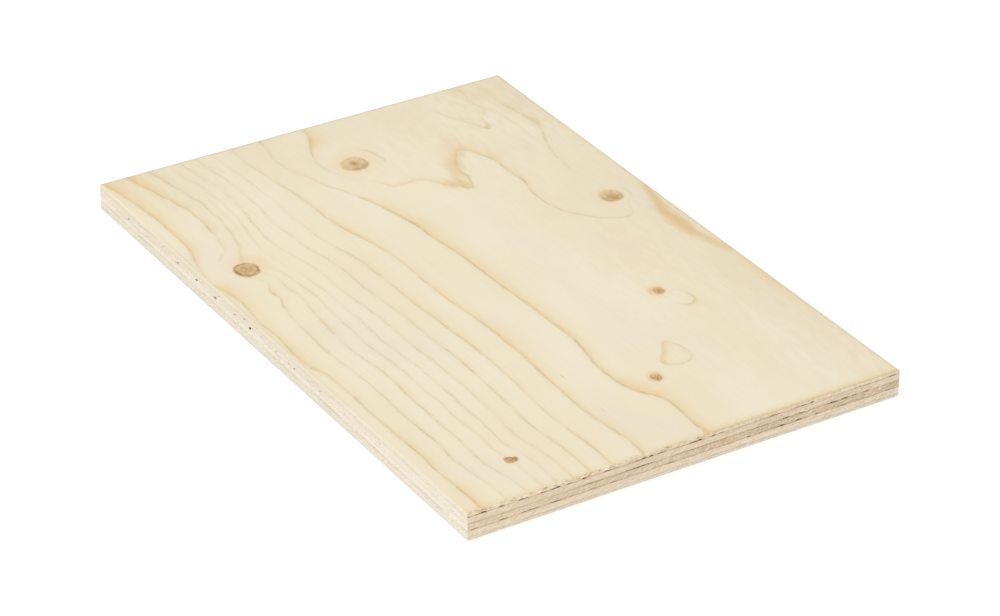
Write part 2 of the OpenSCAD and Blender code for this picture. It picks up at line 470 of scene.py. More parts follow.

# The voids show as broken dark dashes along the glue lines, darkened in the finish with painted shade.
GAPS = {
    Side.RIGHT: (
        EdgeGap(-99.5, 10.5, 1, .5, .9), EdgeGap(-93, 10.5, 2.6, .6, 1.3), EdgeGap(-95, 10.4, 4, .35, .6),
        EdgeGap(-85, 10.5, 2.4, .5, 1), EdgeGap(-75.5, 10.5, 4.5, .45, .8), EdgeGap(-66.5, 10.5, 3, .4, .6),
        EdgeGap(-61.5, 10.5, 4.4, .5, 1), EdgeGap(-59.8, 10.55, 1.4, .65, 1.5),
        EdgeGap(-55, 10.5, 3, .35, .6), EdgeGap(-48.2, 10.55, 2, .5, 1), EdgeGap(-46, 10.9, 1.6, .35, .6),
        EdgeGap(-37.5, 10.5, 3.4, .5, .9), EdgeGap(-34, 10.5, 3, .35, .6), EdgeGap(-24, 10.5, 4, .35, .7),
        EdgeGap(-21, 10.55, 2.4, .55, 1.2), EdgeGap(-17.8, 10.55, 1.8, .65, 1.5),
        EdgeGap(-13.5, 10.5, 4, .4, .7), EdgeGap(2.8, 10.5, 5.6, .45, 1.1), EdgeGap(4.8, 10.55, 1.3, .6, 1.5),
        EdgeGap(11, 10.5, 2, .55, 1.2), EdgeGap(14.5, 10.55, 3, .4, .7), EdgeGap(39, 10.5, 5, .3, .6),
        EdgeGap(57.6, 10.55, 1.2, .55, 1.2), EdgeGap(53, 10.5, 7, .3, .6), EdgeGap(96, 10.5, 4, .35, .7),
        EdgeGap(-22.5, 7.5, 12, .35, .8), EdgeGap(-44, 7.5, 9, .25, .5), EdgeGap(45, 7.5, 3, .45, 1),
        EdgeGap(52, 7.5, 4, .3, .7), EdgeGap(67.5, 7.4, 4, .5, 1.2), EdgeGap(73.5, 7.5, 3.4, .45, .9),
        EdgeGap(78, 7.5, 2, .4, .8), EdgeGap(84, 7.4, 2.4, .45, 1), EdgeGap(-97, 4.6, 3.4, .35, .7),
        EdgeGap(-84, 4.6, 4, .3, .5), EdgeGap(-72.5, 4.6, 8, .35, .7), EdgeGap(-60.8, 4.6, 5, .35, .8),
        EdgeGap(-35, 4.6, 4, .35, .7), EdgeGap(-44, 4.6, 4, .25, .5), EdgeGap(-8.7, 4.6, 4, .3, .6),
        EdgeGap(43.5, 4.6, 3, .4, .8), EdgeGap(51.5, 4.6, 3.2, .4, .9), EdgeGap(60, 4.6, 1.6, .4, .8),
        EdgeGap(27.5, 4.6, 1.4, .45, .9), EdgeGap(72, 4.6, 5, .25, .5), EdgeGap(95, 4.6, 4, .25, .5),
    ),
    Side.FRONT: (
        EdgeGap(-124, 7.3, 2.2, .5, .8, .4), EdgeGap(-106, 7.3, 2.4, .4, .35, .4),
        EdgeGap(-80, 7.4, 3, .5, .6, .5), EdgeGap(-77.5, 8.6, 2.2, .4, .35, .4),
        EdgeGap(-71, 7.2, 2, .4, .45, .4), EdgeGap(-63.5, 7.3, 2.3, .65, 1.1, .4),
        EdgeGap(-59, 8.3, 2.2, .4, .35, .4), EdgeGap(-51, 9.3, 2.4, .4, .4, .3),
        EdgeGap(-47.5, 6.9, 2.8, .7, 1.4, .25), EdgeGap(-43.5, 9.3, 2.4, .45, .45, .5),
        EdgeGap(-31, 7.1, 2.6, .5, .5, .5), EdgeGap(-22.5, 9.2, 2, .55, .8, .4),
        EdgeGap(-18, 7.2, 2.4, .85, 1.6, .6), EdgeGap(-8, 8.3, 2.4, .4, .4, .5),
        EdgeGap(4, 7.4, 2.8, .5, .38, .5), EdgeGap(14, 7.1, 2, .5, .55, .4),
        EdgeGap(18.5, 7.1, 2.3, .55, .65, .5), EdgeGap(29, 7.1, 2.2, .45, .45, .4),
        EdgeGap(39, 7.3, 2.4, .5, .45, .5), EdgeGap(58, 7, 2.6, .4, .45, .1),
        EdgeGap(62, 7, 2.2, .35, .4, .1), EdgeGap(46.5, 4.2, 2.6, .4, .4, .2),
        EdgeGap(97.5, 9.5, 2.2, .4, .35, .3),
    ),
    Side.REAR: (
        EdgeGap(-118, 4.5, 5, .35, .5), EdgeGap(-112, 4.5, 2.4, .4, .8), EdgeGap(-71, 7.4, 2, .5, .7, .3),
        EdgeGap(-64, 7.4, 2.6, .6, 1.3, .3), EdgeGap(-20, 4.4, 7, .3, .5), EdgeGap(-8, 8.8, 2, .4, .5, .4),
        EdgeGap(29, 7.3, 2.4, .6, .9, .4), EdgeGap(33, 7.2, 1.8, .4, .5, .3), EdgeGap(92, 10.4, 6, .3, .5),
        EdgeGap(127, 4.5, 3.4, .4, .7),
    ),
    Side.LEFT: (
        EdgeGap(-89, 7.5, 6, .35, .6), EdgeGap(-82, 7.5, 3.2, .5, 1.1), EdgeGap(-74, 10.5, 5, .35, .6),
        EdgeGap(-52, 10.4, 3, .5, 1), EdgeGap(-46, 10.5, 2, .6, 1.3), EdgeGap(-31, 4.6, 8, .3, .6),
        EdgeGap(-12, 4.6, 3, .4, .8), EdgeGap(3, 7.5, 5, .35, .6), EdgeGap(24, 10.5, 6, .4, .8),
        EdgeGap(29, 10.5, 2, .6, 1.3), EdgeGap(56, 7.5, 3, .5, 1), EdgeGap(61, 4.6, 7, .3, .6),
        EdgeGap(79, 10.5, 4, .35, .7), EdgeGap(90, 4.6, 2.6, .45, .9),
    ),
}


class RingField:
    """A smooth field over a veneer whose whole numbers run along the drawn rings."""

    REST_EASE = 1.0
    TINY = 1e-9
    SLOPE_STEP = 0.1
    OTHER_LINE = 0.8
    OTHER_SHARE = 1e-6
    BLUR = 4.0
    BATCH = 8000

    def __init__(self, figure: Figure) -> None:
        """Solves the field as a thin plate bent past every drawn point, nearer where a line has less ease.

        Args:
            figure: The rings and the points between them.
        """
        drawn = [(x, y, line.ring, crisp, band) for line in figure.rings for x, y, crisp, band in line.points]
        eases = [line.ease for line in figure.rings for _ in line.points]
        eases += [self.REST_EASE] * len(figure.rest)
        self.marks = np.array(drawn, float)
        held = np.vstack([self.marks[:, :3], np.array(figure.rest, float)])
        self.centres = held[:, :2]
        count = len(held)
        plate = np.zeros((count + 3, count + 3))
        plate[:count, :count] = self._bend(self.centres) + np.diag(eases)
        plate[:count, count] = 1
        plate[:count, count + 1:] = self.centres
        plate[count:, :count] = plate[:count, count:].T
        self.weights = np.linalg.solve(plate, np.append(held[:, 2], (0, 0, 0)))

    def _bend(self, places: np.ndarray) -> np.ndarray:
        """Gives how much each centre lifts each place."""
        square = ((places[:, None, :] - self.centres[None, :, :]) ** 2).sum(2)
        return 0.5 * square * np.log(square + self.TINY)

    def rings(self, places: np.ndarray) -> np.ndarray:
        """Gives the ring number at each place.

        Args:
            places: Points on the veneer.

        Returns:
            The numbers, in between ones too.
        """
        count = len(self.centres)
        plane = self.weights[count] + places @ self.weights[count + 1:]
        return self._bend(places) @ self.weights[:count] + plane

    def slopes(self, places: np.ndarray) -> np.ndarray:
        """Gives how many rings there are to a millimetre at each place.

        Args:
            places: Points on the veneer.

        Returns:
            The slopes of the field.
        """
        steps = np.eye(2) * self.SLOPE_STEP
        rises = [self.rings(places + step) - self.rings(places - step) for step in steps]
        return np.hypot(*rises) / (2 * self.SLOPE_STEP)

    def strengths(self, places: np.ndarray, rings: np.ndarray) -> np.ndarray:
        """Spreads the drawn crispness and band depth from the near marks of the line that a place lies by.

        Args:
            places: Points on the veneer.
            rings: The ring number at each of them.

        Returns:
            Crispness and band depth for each place.
        """
        square = ((places[:, None, :] - self.marks[None, :, :2]) ** 2).sum(2)
        other = np.abs(self.marks[None, :, 2] - rings[:, None]) > self.OTHER_LINE
        near = 1 / (square + self.BLUR) ** 2 * np.where(other, self.OTHER_SHARE, 1.0)
        return (near @ self.marks[:, 3:]) / near.sum(1)[:, None]

    def read(self, places: np.ndarray) -> dict[str, np.ndarray]:
        """Reads the field in parts, to keep the tables small.

        Args:
            places: Points on the veneer.

        Returns:
            The values of each mesh attribute, by its name.
        """
        parts = []
        for some in np.array_split(places, max(1, len(places) // self.BATCH)):
            rings = self.rings(some)
            parts.append(np.column_stack([rings, self.slopes(some), self.strengths(some, rings)]))
        return dict(zip(("ring", "ring_slope", "ring_edge", "ring_band"), np.vstack(parts).T))


@dataclass(frozen=True)
class Speckle:
    """Smooth noise: its repeats to a millimetre on each axis, layers of finer noise, and a shift."""

    pitch: tuple[float, float, float]
    detail: float = 2.0
    shift: float = 0.0


class Bench:
    """A shader tree, with short calls that add a node, feed its inputs and give back an output."""

    SPREAD = (1.0, 1.7, 2.3)

    def __init__(self, tree: bpy.types.NodeTree) -> None:
        """Takes the tree that is worked on."""
        self.tree = tree

    def add(self, kind: str, feeds: dict[int | str, Feed], output: int | str = 0,
            **settings: object) -> Socket:
        """Adds a node.

        Args:
            kind: The node's type, without its common start.
            feeds: What goes into each input, a socket or a constant, by the input's name or index.
            output: The output that is wanted.
            **settings: The node's own settings.

        Returns:
            That output.
        """
        node = self.tree.nodes.new("ShaderNode" + kind)
        for name, setting in settings.items():
            setattr(node, name, setting)
        for name, value in feeds.items():
            if isinstance(value, Socket):
                self.tree.links.new(value, node.inputs[name])
            else:
                node.inputs[name].default_value = value
        return node.outputs[output]

    def math(self, operation: str, *values: Feed) -> Socket:
        """Works a sum on sockets or numbers."""
        return self.add("Math", dict(enumerate(values)), operation=operation)

    def times(self, first: Feed, *others: Feed) -> Feed:
        """Multiplies sockets or numbers.

        Args:
            first: The first of them.
            *others: The rest.

        Returns:
            Their product.
        """
        for other in others:
            first = self.math("MULTIPLY", first, other)
        return first

    def plus(self, first: Feed, *others: Feed) -> Feed:
        """Adds sockets or numbers.

        Args:
            first: The first of them.
            *others: The rest.

        Returns:
            Their sum.
        """
        for other in others:
            first = self.math("ADD", first, other)
        return first

    def minus(self, value: Feed, less: Feed) -> Socket:
        """Takes one socket or number from another."""
        return self.math("SUBTRACT", value, less)

    def over(self, value: Feed, share: Feed) -> Socket:
        """Divides one socket or number by another."""
        return self.math("DIVIDE", value, share)

    def larger(self, first: Feed, *others: Feed) -> Feed:
        """Gives the largest of sockets or numbers.

        Args:
            first: The first of them.
            *others: The rest.

        Returns:
            The largest.
        """
        for other in others:
            first = self.math("MAXIMUM", first, other)
        return first

    def scale(self, value: Feed, factor: Feed, offset: Feed) -> Socket:
        """Multiplies by a factor and adds an offset."""
        return self.math("MULTIPLY_ADD", value, factor, offset)

    def vector(self, operation: str, *values: Feed) -> Socket:
        """Works a sum on vectors."""
        return self.add("VectorMath", dict(enumerate(values)), operation=operation)

    def length(self, vector: Feed) -> Socket:
        """Gives a vector's length."""
        return self.add("VectorMath", {0: vector}, "Value", operation="LENGTH")

    def split(self, vector: Feed) -> tuple[Socket, ...]:
        """Gives the three parts of a vector."""
        return tuple(self.add("SeparateXYZ", {0: vector}).node.outputs)

    def turn(self, vector: Feed, angle: Feed) -> Socket:
        """Turns a vector about the upright axis."""
        return self.add("VectorRotate", {"Vector": vector, "Angle": angle}, rotation_type="Z_AXIS")

    def step(self, value: Feed, start: Feed, end: Feed, top: Feed = 1.0) -> Socket:
        """Rises smoothly from 0 at start to top at end."""
        feeds = {"Value": value, "From Min": start, "From Max": end, "To Max": top}
        return self.add("MapRange", feeds, interpolation_type="SMOOTHSTEP")

    def blend(self, share: Feed, under: Feed, over: Feed, mode: str = "MIX") -> Socket:
        """Lays one colour over another by a share."""
        return self.add("Mix", {0: share, 6: under, 7: over}, 2, data_type="RGBA", blend_type=mode)

    def noise(self, place: Feed, speckle: Speckle) -> Socket:
        """Draws smooth noise about 0.5 at a place in millimetres.

        Args:
            place: Where it is read.
            speckle: The kind of noise.

        Returns:
            The noise.
        """
        shift = tuple(speckle.shift * share for share in self.SPREAD)
        drawn = self.vector("MULTIPLY_ADD", place, speckle.pitch, shift)
        return self.add("TexNoise", {"Vector": drawn, "Scale": 1.0, "Detail": speckle.detail}, "Fac")

    def patches(self, place: Feed, speckle: Speckle, start: float, end: float, top: Feed = 1.0) -> Socket:
        """Gives the patches where smooth noise rises past start towards end."""
        return self.step(self.noise(place, speckle), start, end, top)

    def attribute(self, name: str) -> Socket:
        """Reads a number from the mesh."""
        return self.add("Attribute", {}, "Fac", attribute_name=name)

    def place(self) -> Socket:
        """Gives the place on the panel, in millimetres."""
        return self.vector("MULTIPLY", self.add("TexCoord", {}, "Object"), (1 / MM,) * 3)

    def fade(self, value: Feed, reach: Feed) -> Socket:
        """Falls from 1 as value grows, to a third at reach."""
        return self.math("EXPONENT", self.times(self.over(value, reach), -1.0))

    def bell(self, value: Feed, reach: Feed) -> Socket:
        """Falls from 1 to both sides of 0, to a third at reach."""
        share = self.over(value, reach)
        return self.math("EXPONENT", self.times(share, share, -1.0))


class MarkGroups:
    """The node groups that draw a knot, a tinted patch and a ripple over the wood."""

    KINDS = {Tint: "NodeSocketColor", float: "NodeSocketFloat"}
    STAIN_EDGE = Speckle((0.12, 0.35, 0.35), 5.0)
    RIPPLE_EDGE = Speckle((0.25, 0.25, 0.25))
    BROAD = Speckle((1.0, 1.0, 1.0), 2.0, 3.1)
    FINE = Speckle((2.8, 2.8, 2.8), 2.0, 7.7)
    CRACK_TINT = Tint(122, 88, 56)

    @classmethod
    def tree(cls, kind: type[Mark]) -> tuple[Bench, dict[str, Socket]]:
        """Starts a group that takes the wood, the place where it is seen and the fields of a mark.

        Args:
            kind: The kind of mark.

        Returns:
            A bench on the group, and its inputs as the group's nodes see them.
        """
        tree = bpy.data.node_groups.new(kind.group(), "ShaderNodeTree")
        sockets = {"wood": "NodeSocketColor", "at": "NodeSocketVector"}
        sockets.update({part.name: cls.KINDS.get(part.type, "NodeSocketVector") for part in fields(kind)})
        for name, socket in sockets.items():
            tree.interface.new_socket(name, in_out="INPUT", socket_type=socket)
        tree.interface.new_socket("wood", in_out="OUTPUT", socket_type="NodeSocketColor")
        entry = tree.nodes.new("NodeGroupInput")
        return Bench(tree), {socket.name: socket for socket in entry.outputs}

    @staticmethod
    def close(bench: Bench, colour: Socket) -> None:
        """Joins the last colour to the group's output."""
        leave = bench.tree.nodes.new("NodeGroupOutput")
        bench.tree.links.new(colour, leave.inputs["wood"])

    @staticmethod
    def local(bench: Bench, ins: dict[str, Socket]) -> Socket:
        """Gives the place from the mark's centre, turned with it and in its half-widths.

        Args:
            bench: The bench on the group.
            ins: The group's inputs.

        Returns:
            The place in the mark's own measure, 1 at its outline.
        """
        flat = bench.vector("MULTIPLY", ins["at"], (1.0, 1.0, 0.0))
        off = bench.vector("SUBTRACT", flat, ins["place"])
        return bench.vector("DIVIDE", bench.turn(off, bench.times(ins["turn"], -1.0)), ins["radii"])

    @classmethod
    def stain(cls) -> None:
        """Makes the group for a soft patch."""
        bench, ins = cls.tree(Stain)
        far = bench.length(cls.local(bench, ins))
        uneven = bench.times(bench.minus(bench.noise(ins["at"], cls.STAIN_EDGE), 0.5), ins["ragged"])
        share = bench.step(bench.plus(far, uneven), 1.1, 0.1, ins["strength"])
        cls.close(bench, bench.blend(share, ins["wood"], ins["tint"]))

    @classmethod
    def ripple(cls) -> None:
        """Makes the group for an arc, which heads along its local x."""
        bench, ins = cls.tree(Ripple)
        local = cls.local(bench, ins)
        uneven = bench.scale(bench.noise(ins["at"], cls.RIPPLE_EDGE), 0.3, -0.15)
        line = bench.bell(bench.minus(bench.plus(bench.length(local), uneven), 1.0), 0.06)
        share = bench.times(line, bench.step(bench.split(local)[0], 0.78, 0.96, ins["strength"]))
        cls.close(bench, bench.blend(share, ins["wood"], ins["tint"]))

    @classmethod
    def knot(cls) -> None:
        """Makes the group for a knot: a halo, a blotched and ringed body, a bark rim, a heart and cracks."""
        bench, ins = cls.tree(Knot)
        local = cls.local(bench, ins)
        own_place = bench.vector("ADD", local, ins["place"])
        broad, fine = bench.noise(own_place, cls.BROAD), bench.noise(own_place, cls.FINE)
        uneven = bench.times(bench.minus(broad, 0.5), ins["ragged"])
        rough = bench.times(bench.minus(fine, 0.5), ins["soft"])
        far = bench.plus(bench.length(local), uneven)
        # halo of bent grain
        beside = bench.length(bench.vector("SUBTRACT", local, ins["halo_shift"]))
        halo = bench.step(bench.plus(beside, uneven), 2.1, 0.7, ins["halo"])
        wood = bench.blend(halo, ins["wood"], ins["halo_tint"])
        # body, ringed about its heart and darker on one side
        heart_off = bench.vector("SUBTRACT", local, ins["heart"])
        from_heart = bench.length(heart_off)
        swirl = bench.scale(fine, 6.0, bench.times(from_heart, 13.0))
        rings = bench.times(bench.math("SINE", swirl), ins["rings"])
        across = bench.add("VectorMath", {0: local, 1: ins["shade"]}, "Value", operation="DOT_PRODUCT")
        blotch = bench.times(bench.scale(fine, 3.0, -1.4), ins["blotch"])
        tone = bench.plus(rings, blotch, bench.scale(across, 0.5, 0.15))
        body = bench.blend(bench.step(tone, -0.2, 1.0), ins["body"], ins["dark"])
        outer, inner = bench.plus(ins["soft"], 1.0), bench.minus(1.0, ins["soft"])
        wood = bench.blend(bench.step(bench.plus(far, rough), outer, inner), wood, body)
        # bark rim, broken here and there
        rim = bench.bell(bench.minus(far, 0.92), 0.1)
        broken = bench.step(bench.scale(fine, 0.6, broad), 0.62, 0.95, ins["rim"])
        wood = bench.blend(bench.times(rim, broken), wood, ins["dark"])
        # heart and cracks
        heart = bench.times(bench.bell(bench.plus(from_heart, rough), ins["core"]), ins["pith"])
        wood = bench.blend(heart, wood, ins["dark"])
        along, aside, _ = bench.split(heart_off)
        angle = bench.math("ARCTAN2", aside, along)
        spoke = bench.math("ABSOLUTE", bench.math("SINE", bench.scale(angle, 1.5, 0.9)))
        thin = bench.step(bench.times(spoke, from_heart), 0.06, 0.015)
        short = bench.step(bench.scale(fine, 0.5, from_heart), 0.95, 0.6, ins["crack"])
        cls.close(bench, bench.blend(bench.times(thin, short), wood, cls.CRACK_TINT.linear))


class Coat:
    """A material in the making, on the surface shader that it starts with."""

    SHINE = 0.25

    def __init__(self, name: str) -> None:
        """Starts the material.

        Args:
            name: The finish's name.
        """
        self.material = bpy.data.materials.new(name)
        self.material.use_nodes = True
        self.surface = self.material.node_tree.nodes["Principled BSDF"]
        self.surface.inputs["Specular IOR Level"].default_value = self.SHINE
        self.bench = Bench(self.material.node_tree)

    def finish(self, wood: Socket, grain: Socket, rough: tuple[float, float],
               bump: tuple[float, float]) -> bpy.types.Material:
        """Joins up the colour, and the roughness and bump that follow the grain.

        Args:
            wood: The colour.
            grain: The pattern of the grain.
            rough: How much of the grain the roughness takes, and what is added.
            bump: The bump's strength, and its height in millimetres.

        Returns:
            The material.
        """
        feeds = {"Height": grain, "Strength": bump[0], "Distance": bump[1] * MM}
        lift = self.bench.add("Bump", feeds, "Normal")
        ends = {"Base Color": wood, "Roughness": self.bench.scale(grain, *rough), "Normal": lift}
        for name, socket in ends.items():
            self.bench.tree.links.new(socket, self.surface.inputs[name])
        return self.material


class RingInk:
    """Draws the growth rings that a sanded veneer's mesh carries."""

    BAND = Tint(234, 205, 152)
    FINE = Tint(194, 182, 138)
    DEEP = Tint(193, 171, 128)
    STRAY = Speckle((0.3, 0.6, 0.6), 4.0, 2.0)
    PATCHY = Speckle((0.08, 0.3, 0.3), 3.0, 23.0)
    BROKEN = Speckle((0.13, 0.3, 0.3), 3.0, 37.0)
    LEAST_SLOPE = 0.004
    BAND_REACH = (3.0, 1.0)
    BAND_SHARE = (0.3, 0.58)
    GLOW_REACH = (1.3, 1.1)
    GLOW_SHARE = 0.3
    LINE_REACH = (0.5, 0.45)
    LINE_SHARE = (0.5, 0.22)

    @classmethod
    def draw(cls, bench: Bench, place: Feed, wood: Feed, strength: float = 1.0) -> Socket:
        """Draws each ring's edge, crisp on its outer side, with the band that leads up to it.

        Args:
            bench: The bench on the material's tree.
            place: The place on the panel.
            wood: The colour under the rings.
            strength: How strongly they show.

        Returns:
            The colour with the rings on it.
        """
        slope = bench.larger(bench.attribute("ring_slope"), cls.LEAST_SLOPE)
        depth, edge = bench.attribute("ring_band"), bench.attribute("ring_edge")
        ragged = bench.times(bench.scale(bench.noise(place, cls.STRAY), 1.4, -0.7), slope)
        turn = bench.math("FRACT", bench.plus(bench.attribute("ring"), ragged))
        sides = bench.over(bench.minus(1.0, turn), slope), bench.over(turn, slope)
        band_share = [part * strength for part in cls.BAND_SHARE]
        line_share = [part * strength for part in cls.LINE_SHARE]
        patchy = bench.patches(place, cls.PATCHY, 0.33, 0.67)
        band = bench.times(bench.fade(sides[0], bench.scale(depth, *cls.BAND_REACH)), depth)
        wood = bench.blend(bench.times(band, bench.scale(patchy, *band_share)), wood, cls.BAND.linear)
        nearby = bench.larger(*map(bench.fade, sides, cls.GLOW_REACH))
        glow = bench.times(nearby, edge, depth, cls.GLOW_SHARE * strength)
        wood = bench.blend(glow, wood, cls.BAND.linear)
        broken = bench.patches(place, cls.BROKEN, 0.36, 0.62)
        line = bench.times(bench.larger(*map(bench.fade, sides, cls.LINE_REACH)), edge)
        line = bench.times(line, bench.scale(broken, *line_share))
        return bench.blend(line, wood, bench.blend(depth, cls.FINE.linear, cls.DEEP.linear))


@dataclass(frozen=True)
class SandedWood:
    """Bare sanded veneer with its growth rings, knots and tinted patches, some of which are painted shade."""

    name: str
    figure: Figure
    pale: Tint = Tint(241, 231, 206)
    warm: Tint = Tint(239, 226, 197)
    rosy: Tint = Tint(238, 225, 205)
    worn: Tint = Tint(202, 174, 134)
    warmed: Tint = Tint(234, 207, 162)
    dulled: Tint = Tint(220, 203, 170)
    # Tint of the painted shade along the rear and left arrises.
    far_shade_tint: Tint = Tint(202, 186, 152)
    # Dark flecks of torn fibres, partly painted shade in the tears, and pale chips.
    torn: Tint = Tint(178, 146, 104)
    chip: Tint = Tint(252, 242, 218)
    rough: tuple[float, float] = (0.25, 0.5)
    bump: tuple[float, float] = (0.2, 0.1)

    FIBRE = Speckle((0.03, 1.1, 1.1), 4.0)
    CLOUD = Speckle((0.012, 0.03, 0.03), 2.0, 5.0)
    BLUSH = Speckle((0.02, 0.035, 0.035), 2.0, 11.0)
    FLECK = Speckle((0.8, 0.8, 0.8), 4.0, 41.0)
    GRIT = Speckle((0.6, 0.55, 0.9), 3.0, 47.0)
    TORN_PATCH = Speckle((0.2, 0.2, 0.2), 2.0, 59.0)
    FLECK_REACH = 3.0

    def material(self) -> bpy.types.Material:
        """Makes the finish.

        Returns:
            The material.
        """
        coat = Coat(self.name)
        bench = coat.bench
        place = bench.place()
        fibre = bench.noise(place, self.FIBRE)
        wood = RingInk.draw(bench, place, self._bare(bench, place, fibre))
        for mark in (*self.figure.tinted_patches, *self.figure.ripples, *self.figure.knots):
            feeds = {"wood": wood, "at": place, **mark.feeds()}
            wood = bench.add("Group", feeds, "wood", node_tree=bpy.data.node_groups[mark.group()])
        return coat.finish(self._arris_wear_and_shade(bench, place, wood), fibre, self.rough, self.bump)

    def _bare(self, bench: Bench, place: Feed, fibre: Feed) -> Socket:
        """Tones the earlywood in broad clouds and faint fibres.

        Args:
            bench: The bench on the material's tree.
            place: The place on the panel.
            fibre: The pattern of the fibres.

        Returns:
            The colour of the bare wood.
        """
        wood = bench.blend(bench.patches(place, self.CLOUD, 0.3, 0.7), self.pale.linear, self.warm.linear)
        wood = bench.blend(bench.patches(place, self.BLUSH, 0.5, 0.75, 0.7), wood, self.rosy.linear)
        return bench.blend(bench.step(fibre, 0.4, 0.8, 0.1), wood, self.warm.linear, "MULTIPLY")

    def _arris_wear_and_shade(self, bench: Bench, place: Feed, wood: Feed) -> Socket:
        """Tints the arrises each in its own way, with painted shade along the rear and left ones.

        Args:
            bench: The bench on the material's tree.
            place: The place on the panel.
            wood: The colour under it.

        Returns:
            The colour with the wear and the painted shade on it.
        """
        along, across, _ = bench.split(place)
        fleck = bench.noise(place, self.FLECK)
        wood = self._torn(bench, place, (along, across, fleck), wood)
        front = CAD_BOX[0].y / MM
        middle = bench.times(bench.step(along, -130.0, -60.0), bench.step(along, 150.0, 0.0))
        dull = bench.times(middle, bench.step(across, front + 1.6, front + 0.2, 0.55))
        wood = bench.blend(dull, wood, self.dulled.linear)
        # Painted shade: a ragged darker band along the rear and left arrises, the far ones.
        left, rear = CAD_BOX[0].x / MM, CAD_BOX[1].y / MM
        stray = bench.scale(fleck, self.FLECK_REACH, -self.FLECK_REACH / 2)
        far_arris_shade = bench.larger(bench.step(bench.plus(across, stray), rear - 2.3, rear - 0.2),
                             bench.step(bench.plus(along, stray), left + 2.4, left + 0.2))
        return bench.blend(bench.times(far_arris_shade, 0.45), wood, self.far_shade_tint.linear)

    def _torn(self, bench: Bench, place: Feed, parts: tuple[Feed, Feed, Feed], wood: Feed) -> Socket:
        """Warms and darkens the right arris, and flecks its near half with torn fibres and painted shade.

        Args:
            bench: The bench on the material's tree.
            place: The place on the panel.
            parts: That place along and across the panel, and the flecks of the wear.
            wood: The colour under the wear.

        Returns:
            The colour with the wear and the painted shade on it.
        """
        along, across, fleck = parts
        right = CAD_BOX[1].x / MM
        ragged = bench.scale(fleck, self.FLECK_REACH, along)
        reach = bench.plus(ragged, bench.step(across, -20.0, 30.0, 0.9))
        wood = bench.blend(bench.step(reach, right - 3.0, right + 1.8, 0.5), wood, self.warmed.linear)
        wood = bench.blend(bench.step(reach, right + 0.3, right + 2.6, 0.55), wood, self.worn.linear)
        patch = bench.patches(place, self.TORN_PATCH, 0.36, 0.6, 0.95)
        torn = bench.step(ragged, right - 0.2, right + 1.6)
        torn = bench.times(torn, bench.step(across, 30.0, -5.0), patch)
        return fleck_fibres_and_shade(bench, torn, bench.noise(place, self.GRIT), wood, (self.torn, self.chip))


def fleck_fibres_and_shade(bench: Bench, share: Feed, grit: Feed, wood: Feed, tints: tuple[Tint, Tint]) -> Socket:
    """Flecks torn fibres over the wood, the dark flecks partly painted shade in the tears.

    Args:
        bench: The bench on the material's tree.
        share: How strongly they show.
        grit: The noise that breaks them up.
        wood: The colour under them.
        tints: The colours of the dark flecks and of the pale chips.

    Returns:
        The colour with the flecks on it.
    """
    for tint, limits in zip(tints, ((0.52, 0.62), (0.47, 0.35))):
        wood = bench.blend(bench.times(share, bench.step(grit, *limits)), wood, tint.linear)
    return wood


@dataclass(frozen=True)
class EdgeLook:
    """What one pair of edges has in common.

    The glue lines have a strength, which the lower one has so many times over, a half-width and a drop below
    the joint. The saw leaves hair lines, slanted scratches of which a share is everywhere, and a blush. The
    edge changes to a tint towards its foot, which on the long sides is darker and is painted contact shadow,
    and, between two places along it, to a paler one, which is painted light.
    """

    glue: float
    lower: float
    glue_width: float
    glue_drop: float
    hair: float
    scratch: float
    even: float
    blush: float
    foot: float
    painted_light_span: tuple[float, float]
    pale_tint: Tint
    foot_tint: Tint


END_LOOK = EdgeLook(glue=0.78, lower=1.0, glue_width=0.21, glue_drop=0.06, hair=0.3, scratch=0.35, even=1.0,
                    blush=0.3, foot=0.5, painted_light_span=(50, -90), pale_tint=Tint(247, 228, 197),
                    foot_tint=Tint(240, 233, 220))
# The long sides' foot tint is painted contact shadow.
SIDE_LOOK = EdgeLook(glue=0.14, lower=2.4, glue_width=0.36, glue_drop=0.6, hair=0.24, scratch=0.26, even=0.3,
                     blush=0.08, foot=0.3, painted_light_span=(10, 140), pale_tint=Tint(245, 237, 222),
                     foot_tint=Tint(214, 208, 196))


